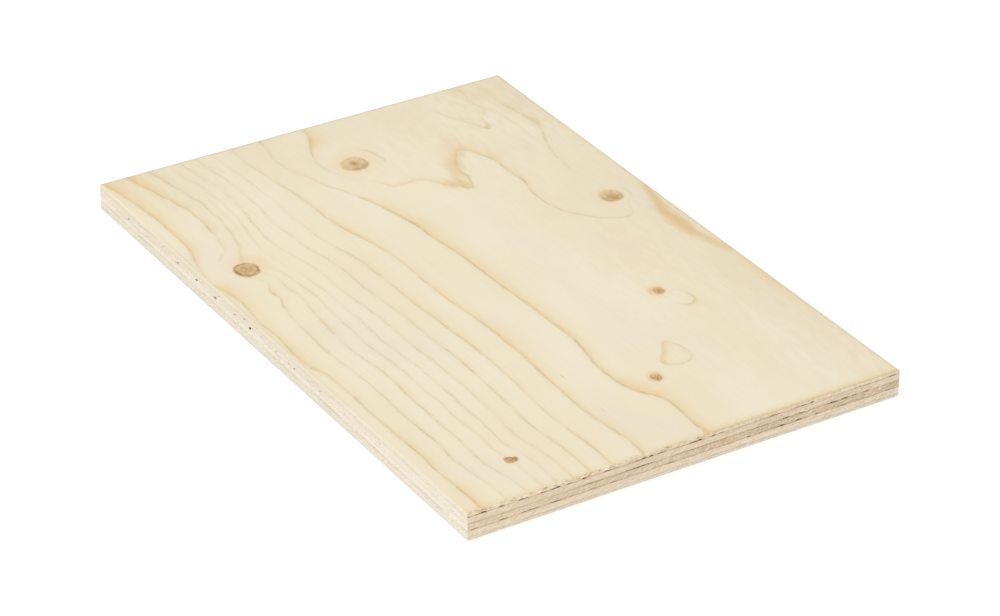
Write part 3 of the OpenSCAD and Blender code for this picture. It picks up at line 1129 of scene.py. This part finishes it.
@dataclass(frozen=True)
class SawnEdge:
    """The sawn edge of a veneer, with the glue lines beside it."""

    name: str
    cut: Cut
    along: int
    pale: Tint
    deep: Tint
    look: EdgeLook
    ringed: bool = False
    # Dark tint of the glue lines, hair lines and scratches, and of torn-fibre flecks that are partly painted
    # shade.
    dark_mark_tint: Tint = Tint(140, 106, 68)
    # Painted shade in the voids.
    void_shade_tint: Tint = Tint(78, 56, 37)
    blush_tint: Tint = Tint(232, 204, 180)
    chip_tint: Tint = Tint(252, 242, 222)
    shaded_tint: Tint = Tint(228, 206, 170)
    flat_tint: Tint = Tint(240, 229, 203)
    rough: tuple[float, float] = (0.2, 0.6)
    bump: tuple[float, float] = (0.5, 0.3)

    # How strongly the glue shows on top of each veneer, and the least share of it along a line.
    GLUED = {"back_veneer": 0.5, "lower_crossband": 1.0, "centre_veneer": 1.0, "upper_crossband": 0.9}
    LEAST_GLUE = 0.35
    MOST_GLUE = 0.95
    RING_STRENGTH = 0.5
    SAW_SLANT = -0.55
    FLECK = Speckle((0.9, 1.6, 1.0), 4.0, 13.0)
    # The broad and the fine streaks of each cut, with the shares of both and of the flecks in the tone.
    STREAKS = {
        Cut.ALONG: (Speckle((0.035, 0.9, 1.0), 3.0, 4.0), Speckle((0.2, 4.0, 1.0), 3.0, 9.0),
                    (0.3, 0.3, 0.4)),
        Cut.ACROSS: (Speckle((0.06, 1.3, 1.0), 2.0, 6.0), Speckle((0.7, 3.0, 1.0), 3.0, 19.0),
                     (0.25, 0.3, 0.45)),
    }
    FLUSH = Speckle((0.05, 0.4, 1.0), 3.0, 77.0)
    STREAKY = Speckle((0.03, 0.25, 1.0), 2.0, 57.0)
    HAIR = Speckle((0.04, 3.0, 1.0), 3.0, 51.0)
    ROUGH = Speckle((0.035, 0.2, 1.0), 2.0, 91.0)
    SCRATCH = Speckle((0.4, 1.7, 1.0), 3.0, 71.0)
    GRIT = Speckle((0.45, 1.1, 1.0), 3.0, 83.0)
    WANDER = Speckle((0.09, 0.05, 1.0), 3.0, 17.0)
    VOID = Speckle((1.2, 2.0, 1.0), 2.0, 61.0)

    def material(self) -> bpy.types.Material:
        """Makes the finish.

        Returns:
            The material.
        """
        coat = Coat(self.name)
        bench = coat.bench
        place = bench.place()
        parts = bench.split(place)
        run, height = parts[self.along], parts[2]
        flat = bench.add("CombineXYZ", {"X": run, "Y": height})
        tone = self._tone(bench, flat)
        wood = bench.blend(bench.step(tone, 0.4, 0.6), self.pale.linear, self.deep.linear)
        if self.ringed:
            wood = RingInk.draw(bench, place, wood, self.RING_STRENGTH)
        wood = self._light_shade_and_flush(bench, flat, run, height, wood)
        shaded = bench.step(parts[1], -1.0, 1.0) if self.along == 0 else None
        if shaded is not None:
            wood = bench.blend(bench.times(shaded, 0.4), wood, self.shaded_tint.linear)
        wood = self._scratches(bench, flat, wood)
        # Torn fibres under the top of the face veneer's ends, their dark flecks partly painted shade in the
        # tears.
        if self.ringed and self.along == 1:
            under = bench.step(height, RELIEF.top - 1.4, RELIEF.top)
            share = bench.times(bench.step(run, 30.0, -5.0, 0.7), under)
            grit = bench.noise(flat, self.GRIT)
            wood = fleck_fibres_and_shade(bench, share, grit, wood, (self.dark_mark_tint, self.chip_tint))
        elif self.ringed:
            under = bench.step(height, RELIEF.top - 1.5, RELIEF.top, 0.7)
            wood = bench.blend(under, wood, self.flat_tint.linear)
        wood = self._glue_lines(bench, flat, height, shaded, wood)
        # Painted shade in the voids, darkest where they are deep.
        gap = bench.scale(bench.noise(flat, self.VOID), 0.5, bench.attribute("gap"))
        wood = bench.blend(bench.step(gap, 0.4, 1.0), wood, self.void_shade_tint.linear)
        return coat.finish(wood, tone, self.rough, self.bump)

    def _tone(self, bench: Bench, flat: Feed) -> Socket:
        """Mixes the streaks of side grain, or the bands of end grain, with the flecks that the saw leaves.

        Args:
            bench: The bench on the material's tree.
            flat: The place on the edge, along it and up it.

        Returns:
            The tone, about 0.5.
        """
        broad, fine, shares = self.STREAKS[self.cut]
        tone = bench.times(bench.noise(flat, broad), shares[0])
        for speckle, share in zip((fine, self.FLECK), shares[1:]):
            tone = bench.scale(bench.noise(flat, speckle), share, tone)
        return tone

    def _light_shade_and_flush(self, bench: Bench, flat: Feed, run: Feed, height: Feed, wood: Feed) -> Socket:
        """Pales the edge towards one end with painted light, tints its foot, and flushes it in patches.

        Args:
            bench: The bench on the material's tree.
            flat: The place on the edge, along it and up it.
            run: The place along the edge alone.
            height: The height alone.
            wood: The colour under it.

        Returns:
            The aged colour.
        """
        look = self.look
        # Painted light: the edge pales towards one end.
        wood = bench.blend(bench.step(run, *look.painted_light_span, 0.45), wood, look.pale_tint.linear)
        # Towards the foot: on the long sides a darker tint, which is painted contact shadow, and on the ends
        # a paler one.
        wood = bench.blend(bench.step(height, 1.3, 0.1, look.foot), wood, look.foot_tint.linear)
        flush = bench.patches(flat, self.FLUSH, 0.5, 0.68, look.blush)
        return bench.blend(flush, wood, self.blush_tint.linear)

    def _scratches(self, bench: Bench, flat: Feed, wood: Feed) -> Socket:
        """Lays dark hair lines along the edge, and slanted saw scratches with raised chips, in patches.

        Args:
            bench: The bench on the material's tree.
            flat: The place on the edge, along it and up it.
            wood: The colour under it.

        Returns:
            The colour with the lines and scratches on it.
        """
        look = self.look
        streaky = bench.patches(flat, self.STREAKY, 0.45, 0.62)
        shown = bench.scale(streaky, 0.9 * look.hair, 0.45 * look.hair)
        wood = bench.blend(bench.patches(flat, self.HAIR, 0.55, 0.71, shown), wood, self.dark_mark_tint.linear)
        rough = bench.patches(flat, self.ROUGH, 0.42, 0.62)
        share = bench.scale(rough, 1.2 * (1 - look.even), look.even)
        scratch = bench.noise(bench.turn(flat, self.SAW_SLANT), self.SCRATCH)
        dark = bench.step(scratch, 0.55, 0.75, bench.times(share, look.scratch))
        wood = bench.blend(dark, wood, self.dark_mark_tint.linear)
        pale = bench.step(scratch, 0.44, 0.28, bench.times(share, 2.2 * look.scratch))
        return bench.blend(pale, wood, self.chip_tint.linear)

    def _glue_lines(self, bench: Bench, flat: Feed, height: Feed, shaded: Feed | None, wood: Feed) -> Socket:
        """Draws the glue lines, uneven in height and strength along the edge and plainer where it is shaded.

        Args:
            bench: The bench on the material's tree.
            flat: The place on the edge, along it and up it.
            height: The height alone.
            shaded: Where the edge is shaded, if anywhere.
            wood: The colour under the lines.

        Returns:
            The colour with the lines on it.
        """
        look = self.look
        width = look.glue_width if shaded is None else bench.scale(shaded, -0.25, look.glue_width)
        stronger = 1.0 if shaded is None else bench.scale(shaded, 2.4, 1.0)
        level = bench.plus(height, bench.scale(bench.noise(flat, self.WANDER), 0.5, -0.25))
        for number, (node, share) in enumerate(self.GLUED.items()):
            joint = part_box(node)[1].z / MM - look.glue_drop
            line = bench.bell(bench.minus(level, joint), width)
            patchy = bench.patches(flat, Speckle((0.07, 0.0, 1.0), 4.0, 31.0 + 7 * number), 0.35, 0.68)
            full, least = share * look.glue, self.LEAST_GLUE
            if node == "lower_crossband":
                full, least = full * look.lower, least / look.lower
            shown = bench.scale(patchy, (self.MOST_GLUE - least) * full, least * full)
            wood = bench.blend(bench.times(line, bench.times(shown, stronger)), wood, self.dark_mark_tint.linear)
        return wood


class EdgeRelief:
    """How far the sawn edges lie inside the panel's box, in millimetres."""

    DEEPEST = 2.0
    TORN_REACH = 1.3

    def __init__(self, top: float) -> None:
        """Takes the panel's thickness in millimetres."""
        self.top = top

    @staticmethod
    def _noise(along: np.ndarray, height: np.ndarray, pitch: tuple[float, float], layer: float) -> np.ndarray:
        """Draws smooth noise from 0 to 1 over an edge."""
        rows = zip(along * pitch[0], height * pitch[1])
        return np.array([0.5 + 0.5 * noise.noise(Vector((a, h, layer))) for a, h in rows])

    def gaps(self, side: Side, along: np.ndarray, height: np.ndarray) -> np.ndarray:
        """Gives the depth of the voids at points of an edge.

        Args:
            side: The edge.
            along: Where the points lie along it.
            height: Their heights.

        Returns:
            The depth at each point.
        """
        depth = np.zeros(len(along))
        for gap in GAPS[side]:
            ahead, above = along - gap.along, height - gap.height
            down_line = ahead * math.cos(gap.slant) + above * math.sin(gap.slant)
            off_line = above * math.cos(gap.slant) - ahead * math.sin(gap.slant)
            near = (down_line / (gap.length / 2)) ** 2 + (off_line / (gap.opening / 2)) ** 2
            depth = np.maximum(depth, gap.depth * np.clip(1.2 - near, 0, 1) ** 0.5)
        return depth

    def torn(self, side: Side, along: np.ndarray, height: np.ndarray) -> np.ndarray:
        """Gives how far the upper arris is rounded and torn, worst at the near end of the right edge.

        Args:
            side: The edge.
            along: Where the points lie along it.
            height: Their heights.

        Returns:
            The depth at each point.
        """
        reach = np.clip((height - (self.top - self.TORN_REACH)) / self.TORN_REACH, 0, 1)
        pluck = np.clip(self._noise(along, height, (0.55, 0.6), 5.5) - 0.45, 0, 0.5)
        if side is not Side.RIGHT:
            return reach**2 * (0.04 + 0.2 * pluck)
        worst = np.clip((20 - along) / 40, 0.2, 1)
        fibre = np.clip(self._noise(along, height, (0.75, 1.2), 8.5) - 0.4, 0, 0.5)
        return reach**2 * 0.25 + reach * (pluck * 1.4 + fibre * 1.2) * worst

    def depth(self, side: Side, along: np.ndarray, height: np.ndarray) -> np.ndarray:
        """Gives the depth of everything at points of an edge.

        Args:
            side: The edge.
            along: Where the points lie along it.
            height: Their heights.

        Returns:
            The depth at each point.
        """
        saw = 0.07 * self._noise(along, height, (0.5, 2.2), 1.5)
        saw += 0.05 * self._noise(along, height, (2.1, 3.7), 2.5)
        return np.maximum(saw + self.torn(side, along, height), self.gaps(side, along, height))


RELIEF = EdgeRelief(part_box("face_veneer")[1].z / MM)


def vertex_places(veneer: bpy.types.Object) -> np.ndarray:
    """Reads a mesh's vertices.

    Args:
        veneer: The veneer's object.

    Returns:
        Their places, one to a row.
    """
    flat = np.empty(len(veneer.data.vertices) * 3)
    veneer.data.vertices.foreach_get("co", flat)
    return flat.reshape(-1, 3)


def face_normals(veneer: bpy.types.Object) -> np.ndarray:
    """Reads the way that each face points.

    Args:
        veneer: The veneer's object.

    Returns:
        The normals, one to a row.
    """
    flat = np.empty(len(veneer.data.polygons) * 3)
    veneer.data.polygons.foreach_get("normal", flat)
    return flat.reshape(-1, 3)


def face_corners(veneer: bpy.types.Object) -> tuple[np.ndarray, np.ndarray]:
    """Reads the vertex at each corner of the faces, face by face, and how many corners each face has.

    Args:
        veneer: The veneer's object.

    Returns:
        The vertices by their index, and the counts.
    """
    vertex = np.empty(len(veneer.data.loops), np.int32)
    veneer.data.loops.foreach_get("vertex_index", vertex)
    total = np.empty(len(veneer.data.polygons), np.int32)
    veneer.data.polygons.foreach_get("loop_total", total)
    return vertex, total


def write_attribute(veneer: bpy.types.Object, name: str, values: np.ndarray, domain: str = "POINT") -> None:
    """Writes a number for each vertex, or for each corner of the faces."""
    layer = veneer.data.attributes.new(name, "FLOAT", domain)
    layer.data.foreach_set("value", values.astype(np.float32))


def select_edges(veneer: bpy.types.Object, height: float) -> None:
    """Selects the open edges that lie at a height, in edit mode.

    Args:
        veneer: The veneer's object.
        height: The height, in metres.
    """
    bpy.ops.mesh.select_all(action="DESELECT")
    bpy.ops.mesh.select_mode(type="EDGE")
    bpy.ops.mesh.select_non_manifold(extend=False, use_wire=True, use_boundary=True, use_multi_face=False,
                                     use_non_contiguous=False, use_verts=False)
    bpy.ops.object.mode_set(mode="OBJECT")
    levels = vertex_places(veneer)[:, 2]
    for edge in veneer.data.edges:
        if edge.select and abs(levels[edge.vertices[0]] - height) > TOUCH:
            edge.select = False
    bpy.ops.object.mode_set(mode="EDIT")


def raise_walls(rows: tuple[float, ...], way: int) -> None:
    """Draws the selected edges up or down in rows, given in millimetres, and caps what they end in.

    Args:
        rows: The height of each row.
        way: 1 for up, -1 for down.
    """
    for row in rows:
        bpy.ops.mesh.extrude_edges_move(TRANSFORM_OT_translate={"value": (0, 0, way * row * MM)})
    bpy.ops.mesh.edge_face_add()


def start_edit(spans: tuple[float, float]) -> bpy.types.Object:
    """Stretches the new unit mesh to its length and width, and opens it for edits.

    Args:
        spans: The length and the width, in metres.

    Returns:
        The new object.
    """
    bpy.ops.transform.resize(value=(*spans, 1.0))
    bpy.ops.object.transform_apply(location=True, rotation=True, scale=True)
    bpy.ops.object.mode_set(mode="EDIT")
    return bpy.context.object


def end_edit() -> None:
    """Turns all faces outwards and leaves the edits."""
    bpy.ops.mesh.select_all(action="SELECT")
    bpy.ops.mesh.normals_make_consistent(inside=False)
    bpy.ops.object.mode_set(mode="OBJECT")


@dataclass
class Veneer:
    """One veneer of the panel, which stands for a CAD node."""

    node: str
    piece: str
    slot: str
    grain: Grain
    ends: tuple[Tint, Tint]
    sides: tuple[Tint, Tint]
    ringed: bool = False
    along_step: float = 0.5 * MM
    way: int = 0

    NEAR_WALL = 0.4

    def build(self) -> bpy.types.Object:
        """Models the veneer, dresses it while its edges are plain, and then presses their marks into them.

        Returns:
            The finished piece.
        """
        bpy.ops.object.select_all(action="DESELECT")
        veneer = self.model()
        BakeMap.lay(veneer, self)
        self.dress(veneer)
        self.relieve(veneer)
        bpy.ops.object.shade_smooth_by_angle(angle=SMOOTH_ANGLE)
        self.settle(veneer)
        return veneer

    def model(self) -> bpy.types.Object:
        """Models the plain veneer."""
        raise NotImplementedError

    def corners(self) -> tuple[Vector, Vector]:
        """Gives the lowest and highest corner of the node."""
        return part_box(self.node)

    def settle(self, veneer: bpy.types.Object) -> None:
        """Names the veneer and gives it the node's place in the frame.

        Args:
            veneer: The veneer's object.
        """
        veneer.name = self.piece
        veneer.data.name = self.piece
        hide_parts(self.node)
        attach(veneer, BODY)

    def relieve(self, veneer: bpy.types.Object) -> None:
        """Presses saw marks, voids and torn fibres into the edges, and marks the voids for the finish.

        Args:
            veneer: The veneer's object.
        """
        places = vertex_places(veneer) / MM
        low, high = (np.array(corner) / MM for corner in self.corners())
        gap = np.zeros(len(places))
        steep = np.abs(face_normals(veneer)[:, 2]) < STEEP
        for side in Side:
            wall = (high if side.way > 0 else low)[side.axis]
            rows = np.flatnonzero(np.abs(places[:, side.axis] - wall) < self.NEAR_WALL)
            along, height = places[rows, 1 - side.axis], places[rows, 2]
            gap[rows] = np.maximum(gap[rows], RELIEF.gaps(side, along, height))
            self._press(veneer, side, rows, RELIEF.depth(side, along, height))
        vertex, total = face_corners(veneer)
        write_attribute(veneer, "gap", gap[vertex] * np.repeat(steep, total), "CORNER")

    def _press(self, veneer: bpy.types.Object, side: Side, rows: np.ndarray, depth: np.ndarray) -> None:
        """Moves an edge's vertices inwards by their depths.

        Args:
            veneer: The veneer's object.
            side: The edge.
            rows: The vertices, by their index.
            depth: The depth of each.
        """
        group = veneer.vertex_groups.new(name=side.name.lower())
        for row, share in zip(rows.tolist(), (depth / RELIEF.DEEPEST).tolist()):
            group.add([row], min(share, 1.0), "REPLACE")
        press = veneer.modifiers.new(side.name.lower(), "DISPLACE")
        press.direction = "XY"[side.axis]
        press.mid_level = 0.0
        press.strength = -side.way * RELIEF.DEEPEST * MM
        press.vertex_group = group.name
        bpy.ops.object.modifier_apply(modifier=press.name)
        veneer.vertex_groups.clear()

    def dress(self, veneer: bpy.types.Object) -> None:
        """Gives each sawn edge its finish, by the way it faces, and the glued flats one of them.

        Args:
            veneer: The veneer's object.
        """
        pairs = (("ends", self.ends, END_LOOK), ("sides", self.sides, SIDE_LOOK))
        for axis, (walls, tints, look) in enumerate(pairs):
            cut = Cut.ACROSS if self.grain.value == axis else Cut.ALONG
            finish = SawnEdge(f"{self.piece}_{walls}", cut, 1 - axis, *tints, look, self.ringed)
            veneer.data.materials.append(finish.material())
        facing = face_normals(veneer)
        base = len(veneer.data.materials) - len(pairs)
        slots = np.full(len(facing), base + self.grain.value, np.int32)
        slots[facing[:, 2] * self.way > STEEP] = 0
        steep = np.abs(facing[:, 2]) < STEEP
        slots[steep] = base + (np.abs(facing[:, 1]) > np.abs(facing[:, 0]))[steep]
        veneer.data.polygons.foreach_set("material_index", slots)


class BakeMap:
    """A map to bake through, with most of its room for what shows and little for the rest."""

    NAME = "OFBake"
    RIM = 0.01
    GLUED = {-1: (0.005, 0.045), 1: (0.05, 0.09)}
    SHOWN = (0.335, 0.99)
    EDGES = {True: (0.1, 0.325), False: (0.1, 0.99)}
    PARTS = (2, 3)
    STRIP = (0.08, 0.84)
    UPRIGHT = 0.8

    @classmethod
    def lay(cls, veneer: bpy.types.Object, plan: Veneer) -> None:
        """Lays out a veneer while its edges are plain, each edge cut into parts that lie above each other.

        Args:
            veneer: The modelled veneer.
            plan: What it is built from.
        """
        vertex, total = face_corners(veneer)
        low, high = (np.array(corner) for corner in plan.corners())
        at = (vertex_places(veneer)[vertex] - low) / (high - low)
        middle = np.repeat(np.add.reduceat(at, np.cumsum(total) - total) / total[:, None], total, axis=0)
        facing = np.repeat(face_normals(veneer), total, axis=0)
        sheet = np.zeros((len(at), 2))
        for way in (-1, 1):
            rows = facing[:, 2] * way > STEEP
            grain = 1 if way == plan.way else plan.grain.value
            start, end = cls.SHOWN if way == plan.way else cls.GLUED[way]
            sheet[rows, 0] = at[rows, 1 - grain]
            sheet[rows, 1] = start + (end - start) * at[rows, grain]
        parts = [(side, part) for side in Side for part in range(cls.PARTS[side.axis])]
        start, end = cls.EDGES[plan.way != 0]
        for place, (side, part) in enumerate(parts):
            along, count = 1 - side.axis, cls.PARTS[side.axis]
            rows = facing[:, side.axis] * side.way > cls.UPRIGHT
            rows &= np.floor(middle[:, along] * count) == part
            sheet[rows, 0] = at[rows, along] * count - part
            level = place + cls.STRIP[0] + cls.STRIP[1] * at[rows, 2]
            sheet[rows, 1] = start + (end - start) * level / len(parts)
        sheet[:, 0] = cls.RIM + (1 - 2 * cls.RIM) * sheet[:, 0]
        layer = veneer.data.uv_layers.new(name=cls.NAME)
        layer.uv.foreach_set("vector", sheet.astype(np.float32).ravel())


@dataclass
class SandedVeneer(Veneer):
    """A face or back veneer: a sanded flat with broken arrises, over sawn edges."""

    figure: Figure = FACE
    arris: float = 0.3 * MM
    rows: tuple[float, ...] = (0.3, 0.25, 0.2, 0.15, 0.15, 0.15)

    def model(self) -> bpy.types.Object:
        """Models the sanded flat as a grid, and draws its border out to the arrises and on down the edges.

        Returns:
            The new object.
        """
        low, high = self.corners()
        length, width = high.x - low.x, high.y - low.y
        flat = high.z if self.way > 0 else low.z
        inner = (length - 2 * self.arris, width - 2 * self.arris)
        cells = [round(span / self.along_step / 2) for span in (length, width)]
        bpy.ops.mesh.primitive_grid_add(x_subdivisions=cells[0], y_subdivisions=cells[1], size=1,
                                        location=(0, 0, flat))
        veneer = start_edit(inner)
        select_edges(veneer, flat)
        bpy.ops.mesh.subdivide(number_cuts=1)
        select_edges(veneer, flat)
        bpy.ops.mesh.extrude_edges_move(TRANSFORM_OT_translate={"value": (0, 0, -self.way * self.arris)})
        bpy.ops.transform.resize(value=(length / inner[0], width / inner[1], 1.0), center_override=(0, 0, 0))
        raise_walls(self.rows, -self.way)
        end_edit()
        return veneer

    def dress(self, veneer: bpy.types.Object) -> None:
        """Lays the figure on the flat, and the finishes on it and on the edges.

        Args:
            veneer: The veneer's object.
        """
        places = vertex_places(veneer)[:, :2] / MM
        for name, values in RingField(self.figure).read(places).items():
            write_attribute(veneer, name, values)
        veneer.data.materials.append(SandedWood(self.piece, self.figure).material())
        super().dress(veneer)


@dataclass
class CoreVeneer(Veneer):
    """An inner veneer, of which only the sawn edges show."""

    rows: tuple[float, ...] = (0.15, 0.15, 0.2, 0.3, 0.35, 0.35, 0.35, 0.35, 0.3, 0.2, 0.15, 0.15)

    COARSE_STEPS = 20

    def model(self) -> bpy.types.Object:
        """Models the edges as rows drawn up from a split outline, between two plain flats.

        Returns:
            The new object.
        """
        low, high = self.corners()
        spans = (high.x - low.x, high.y - low.y)
        bpy.ops.mesh.primitive_plane_add(size=1, location=(0, 0, low.z))
        veneer = start_edit(spans)
        bpy.ops.mesh.select_all(action="SELECT")
        bpy.ops.mesh.delete(type="ONLY_FACE")
        for axis, span in enumerate(spans):
            self._split(veneer, low.z, axis, span)
        select_edges(veneer, low.z)
        raise_walls(self.rows, 1)
        select_edges(veneer, low.z)
        bpy.ops.mesh.edge_face_add()
        end_edit()
        return veneer

    def _split(self, veneer: bpy.types.Object, height: float, axis: int, span: float) -> None:
        """Splits the two sides that run along an axis into even steps, first coarse and then fine.

        Args:
            veneer: The veneer's object.
            height: The height of the outline.
            axis: The axis, by its index.
            span: How long the sides are.
        """
        for steps in (self.COARSE_STEPS, round(span / self.along_step) // self.COARSE_STEPS):
            select_edges(veneer, height)
            bpy.ops.object.mode_set(mode="OBJECT")
            places = vertex_places(veneer)
            for edge in veneer.data.edges:
                start, end = (places[vertex] for vertex in edge.vertices)
                edge.select = bool(abs(start[1 - axis] - end[1 - axis]) < TOUCH)
            bpy.ops.object.mode_set(mode="EDIT")
            bpy.ops.mesh.subdivide(number_cuts=steps - 1)


@dataclass(frozen=True)
class Studio:
    """The floor, the light and the camera."""

    floor_size: float = 12.0
    floor_drop: float = 0.1 * MM
    floor_glow: float = 0.72
    floor_shade: tuple[float, ...] = (0.34, 0.34, 0.34, 1.0)
    floor_bounce: tuple[float, ...] = (0.9, 0.895, 0.885, 1.0)
    white: tuple[float, ...] = (1.0, 1.0, 1.0, 1.0)
    camera_place: tuple[float, float, float] = (1.2018, -0.7481, 0.8215)
    azimuth: float = 57.833
    elevation: float = 30.258
    roll: float = 0.508
    lens: float = 143.09
    sensor: float = 36.0
    key_place: tuple[float, float, float] = (0.15, -1.75, 1.6)
    key_power: float = 13.0
    key_size: float = 1.6
    sky: float = 0.85

    def build(self) -> None:
        """Sets up the whole studio."""
        self.floor()
        self.lights()
        self.camera()

    def floor(self) -> None:
        """Lays the pale floor, which shows white where no shadow falls."""
        bpy.ops.object.select_all(action="DESELECT")
        bpy.ops.mesh.primitive_plane_add(size=self.floor_size, location=(0, 0, -self.floor_drop))
        floor = bpy.context.object
        floor.name = "floor"
        material = bpy.data.materials.new("floor_white")
        material.use_nodes = True
        tree = material.node_tree
        tree.nodes.clear()
        bench = Bench(tree)
        glow = bench.add("Emission", {"Color": self.white, "Strength": self.floor_glow})
        shade = bench.add("BsdfDiffuse", {"Color": self.floor_shade})
        bounce = bench.add("BsdfDiffuse", {"Color": self.floor_bounce})
        shown = bench.add("AddShader", {0: glow, 1: shade})
        mixed = bench.add("MixShader", {0: self._seen(bench), 1: bounce, 2: shown})
        output = tree.nodes.new("ShaderNodeOutputMaterial")
        tree.links.new(mixed, output.inputs["Surface"])
        floor.data.materials.append(material)

    @staticmethod
    def _seen(bench: Bench) -> Feed:
        """Gives 1 for a ray that shows the background as such.

        Args:
            bench: The bench on the material's or the sky's tree.

        Returns:
            1 for such a ray, 0 for others.
        """
        path = bench.add("LightPath", {}).node
        rays = ("Is Camera Ray", "Is Glossy Ray", "Is Transmission Ray")
        return bench.larger(*(path.outputs[ray] for ray in rays))

    def lights(self) -> None:
        """Hangs a broad soft key at the front under an even white sky."""
        key = bpy.data.lights.new("key", "AREA")
        key.shape = "DISK"
        key.size = self.key_size
        key.energy = self.key_power
        lamp = bpy.data.objects.new("key", key)
        bpy.context.scene.collection.objects.link(lamp)
        lamp.location = self.key_place
        lamp.rotation_euler = Vector(self.key_place).to_track_quat("Z", "Y").to_euler()
        world = bpy.context.scene.world or bpy.data.worlds.new("sky")
        bpy.context.scene.world = world
        world.use_nodes = True
        tree = world.node_tree
        tree.nodes.clear()
        bench = Bench(tree)
        strength = bench.add("MapRange", {"Value": self._seen(bench), "To Min": self.sky, "To Max": 1.0})
        sky = bench.add("Background", {"Color": self.white, "Strength": strength})
        output = tree.nodes.new("ShaderNodeOutputWorld")
        tree.links.new(sky, output.inputs["Surface"])

    def camera(self) -> None:
        """Stands the camera where the picture was taken from."""
        data = bpy.data.cameras.new("camera")
        data.sensor_width = self.sensor
        data.lens = self.lens
        camera = bpy.data.objects.new("camera", data)
        bpy.context.scene.collection.objects.link(camera)
        camera.location = self.camera_place
        level = Euler((math.radians(90 - self.elevation), 0.0, math.radians(self.azimuth))).to_matrix()
        camera.rotation_euler = (level @ Matrix.Rotation(math.radians(self.roll), 3, "Z")).to_euler()
        bpy.context.scene.camera = camera


PANEL = (
    SandedVeneer("face_veneer", "sanded_face", "face_wood", Grain.LENGTHWISE,
                 (Tint(250, 236, 209), Tint(226, 202, 165)), (Tint(239, 229, 206), Tint(231, 220, 196)),
                 ringed=True, figure=FACE, way=1),
    CoreVeneer("upper_crossband", "upper_band", "crossband_wood", Grain.CROSSWISE,
               (Tint(248, 231, 203), Tint(224, 201, 171)), (Tint(239, 229, 210), Tint(226, 216, 197))),
    CoreVeneer("centre_veneer", "centre_core", "centre_wood", Grain.LENGTHWISE,
               (Tint(238, 217, 186), Tint(204, 181, 151)), (Tint(244, 235, 218), Tint(232, 222, 203))),
    CoreVeneer("lower_crossband", "lower_band", "crossband_wood", Grain.CROSSWISE,
               (Tint(255, 242, 217), Tint(236, 217, 190)), (Tint(239, 231, 213), Tint(227, 218, 199))),
    SandedVeneer("back_veneer", "sanded_back", "back_wood", Grain.LENGTHWISE,
                 (Tint(248, 240, 222), Tint(228, 218, 199)), (Tint(237, 230, 215), Tint(225, 218, 203)),
                 ringed=True, figure=BACK, way=-1),
)


def main() -> None:
    """Builds the panel from its face to its back, then the studio."""
    logging.basicConfig(level=logging.INFO)
    bpy.context.scene.view_settings.view_transform = "Standard"
    MarkGroups.stain()
    MarkGroups.ripple()
    MarkGroups.knot()
    for veneer in PANEL:
        piece = veneer.build()
        LOG.info("%s: %d faces", piece.name, len(piece.data.polygons))
    Studio().build()


if __name__ == "__main__":
    main()
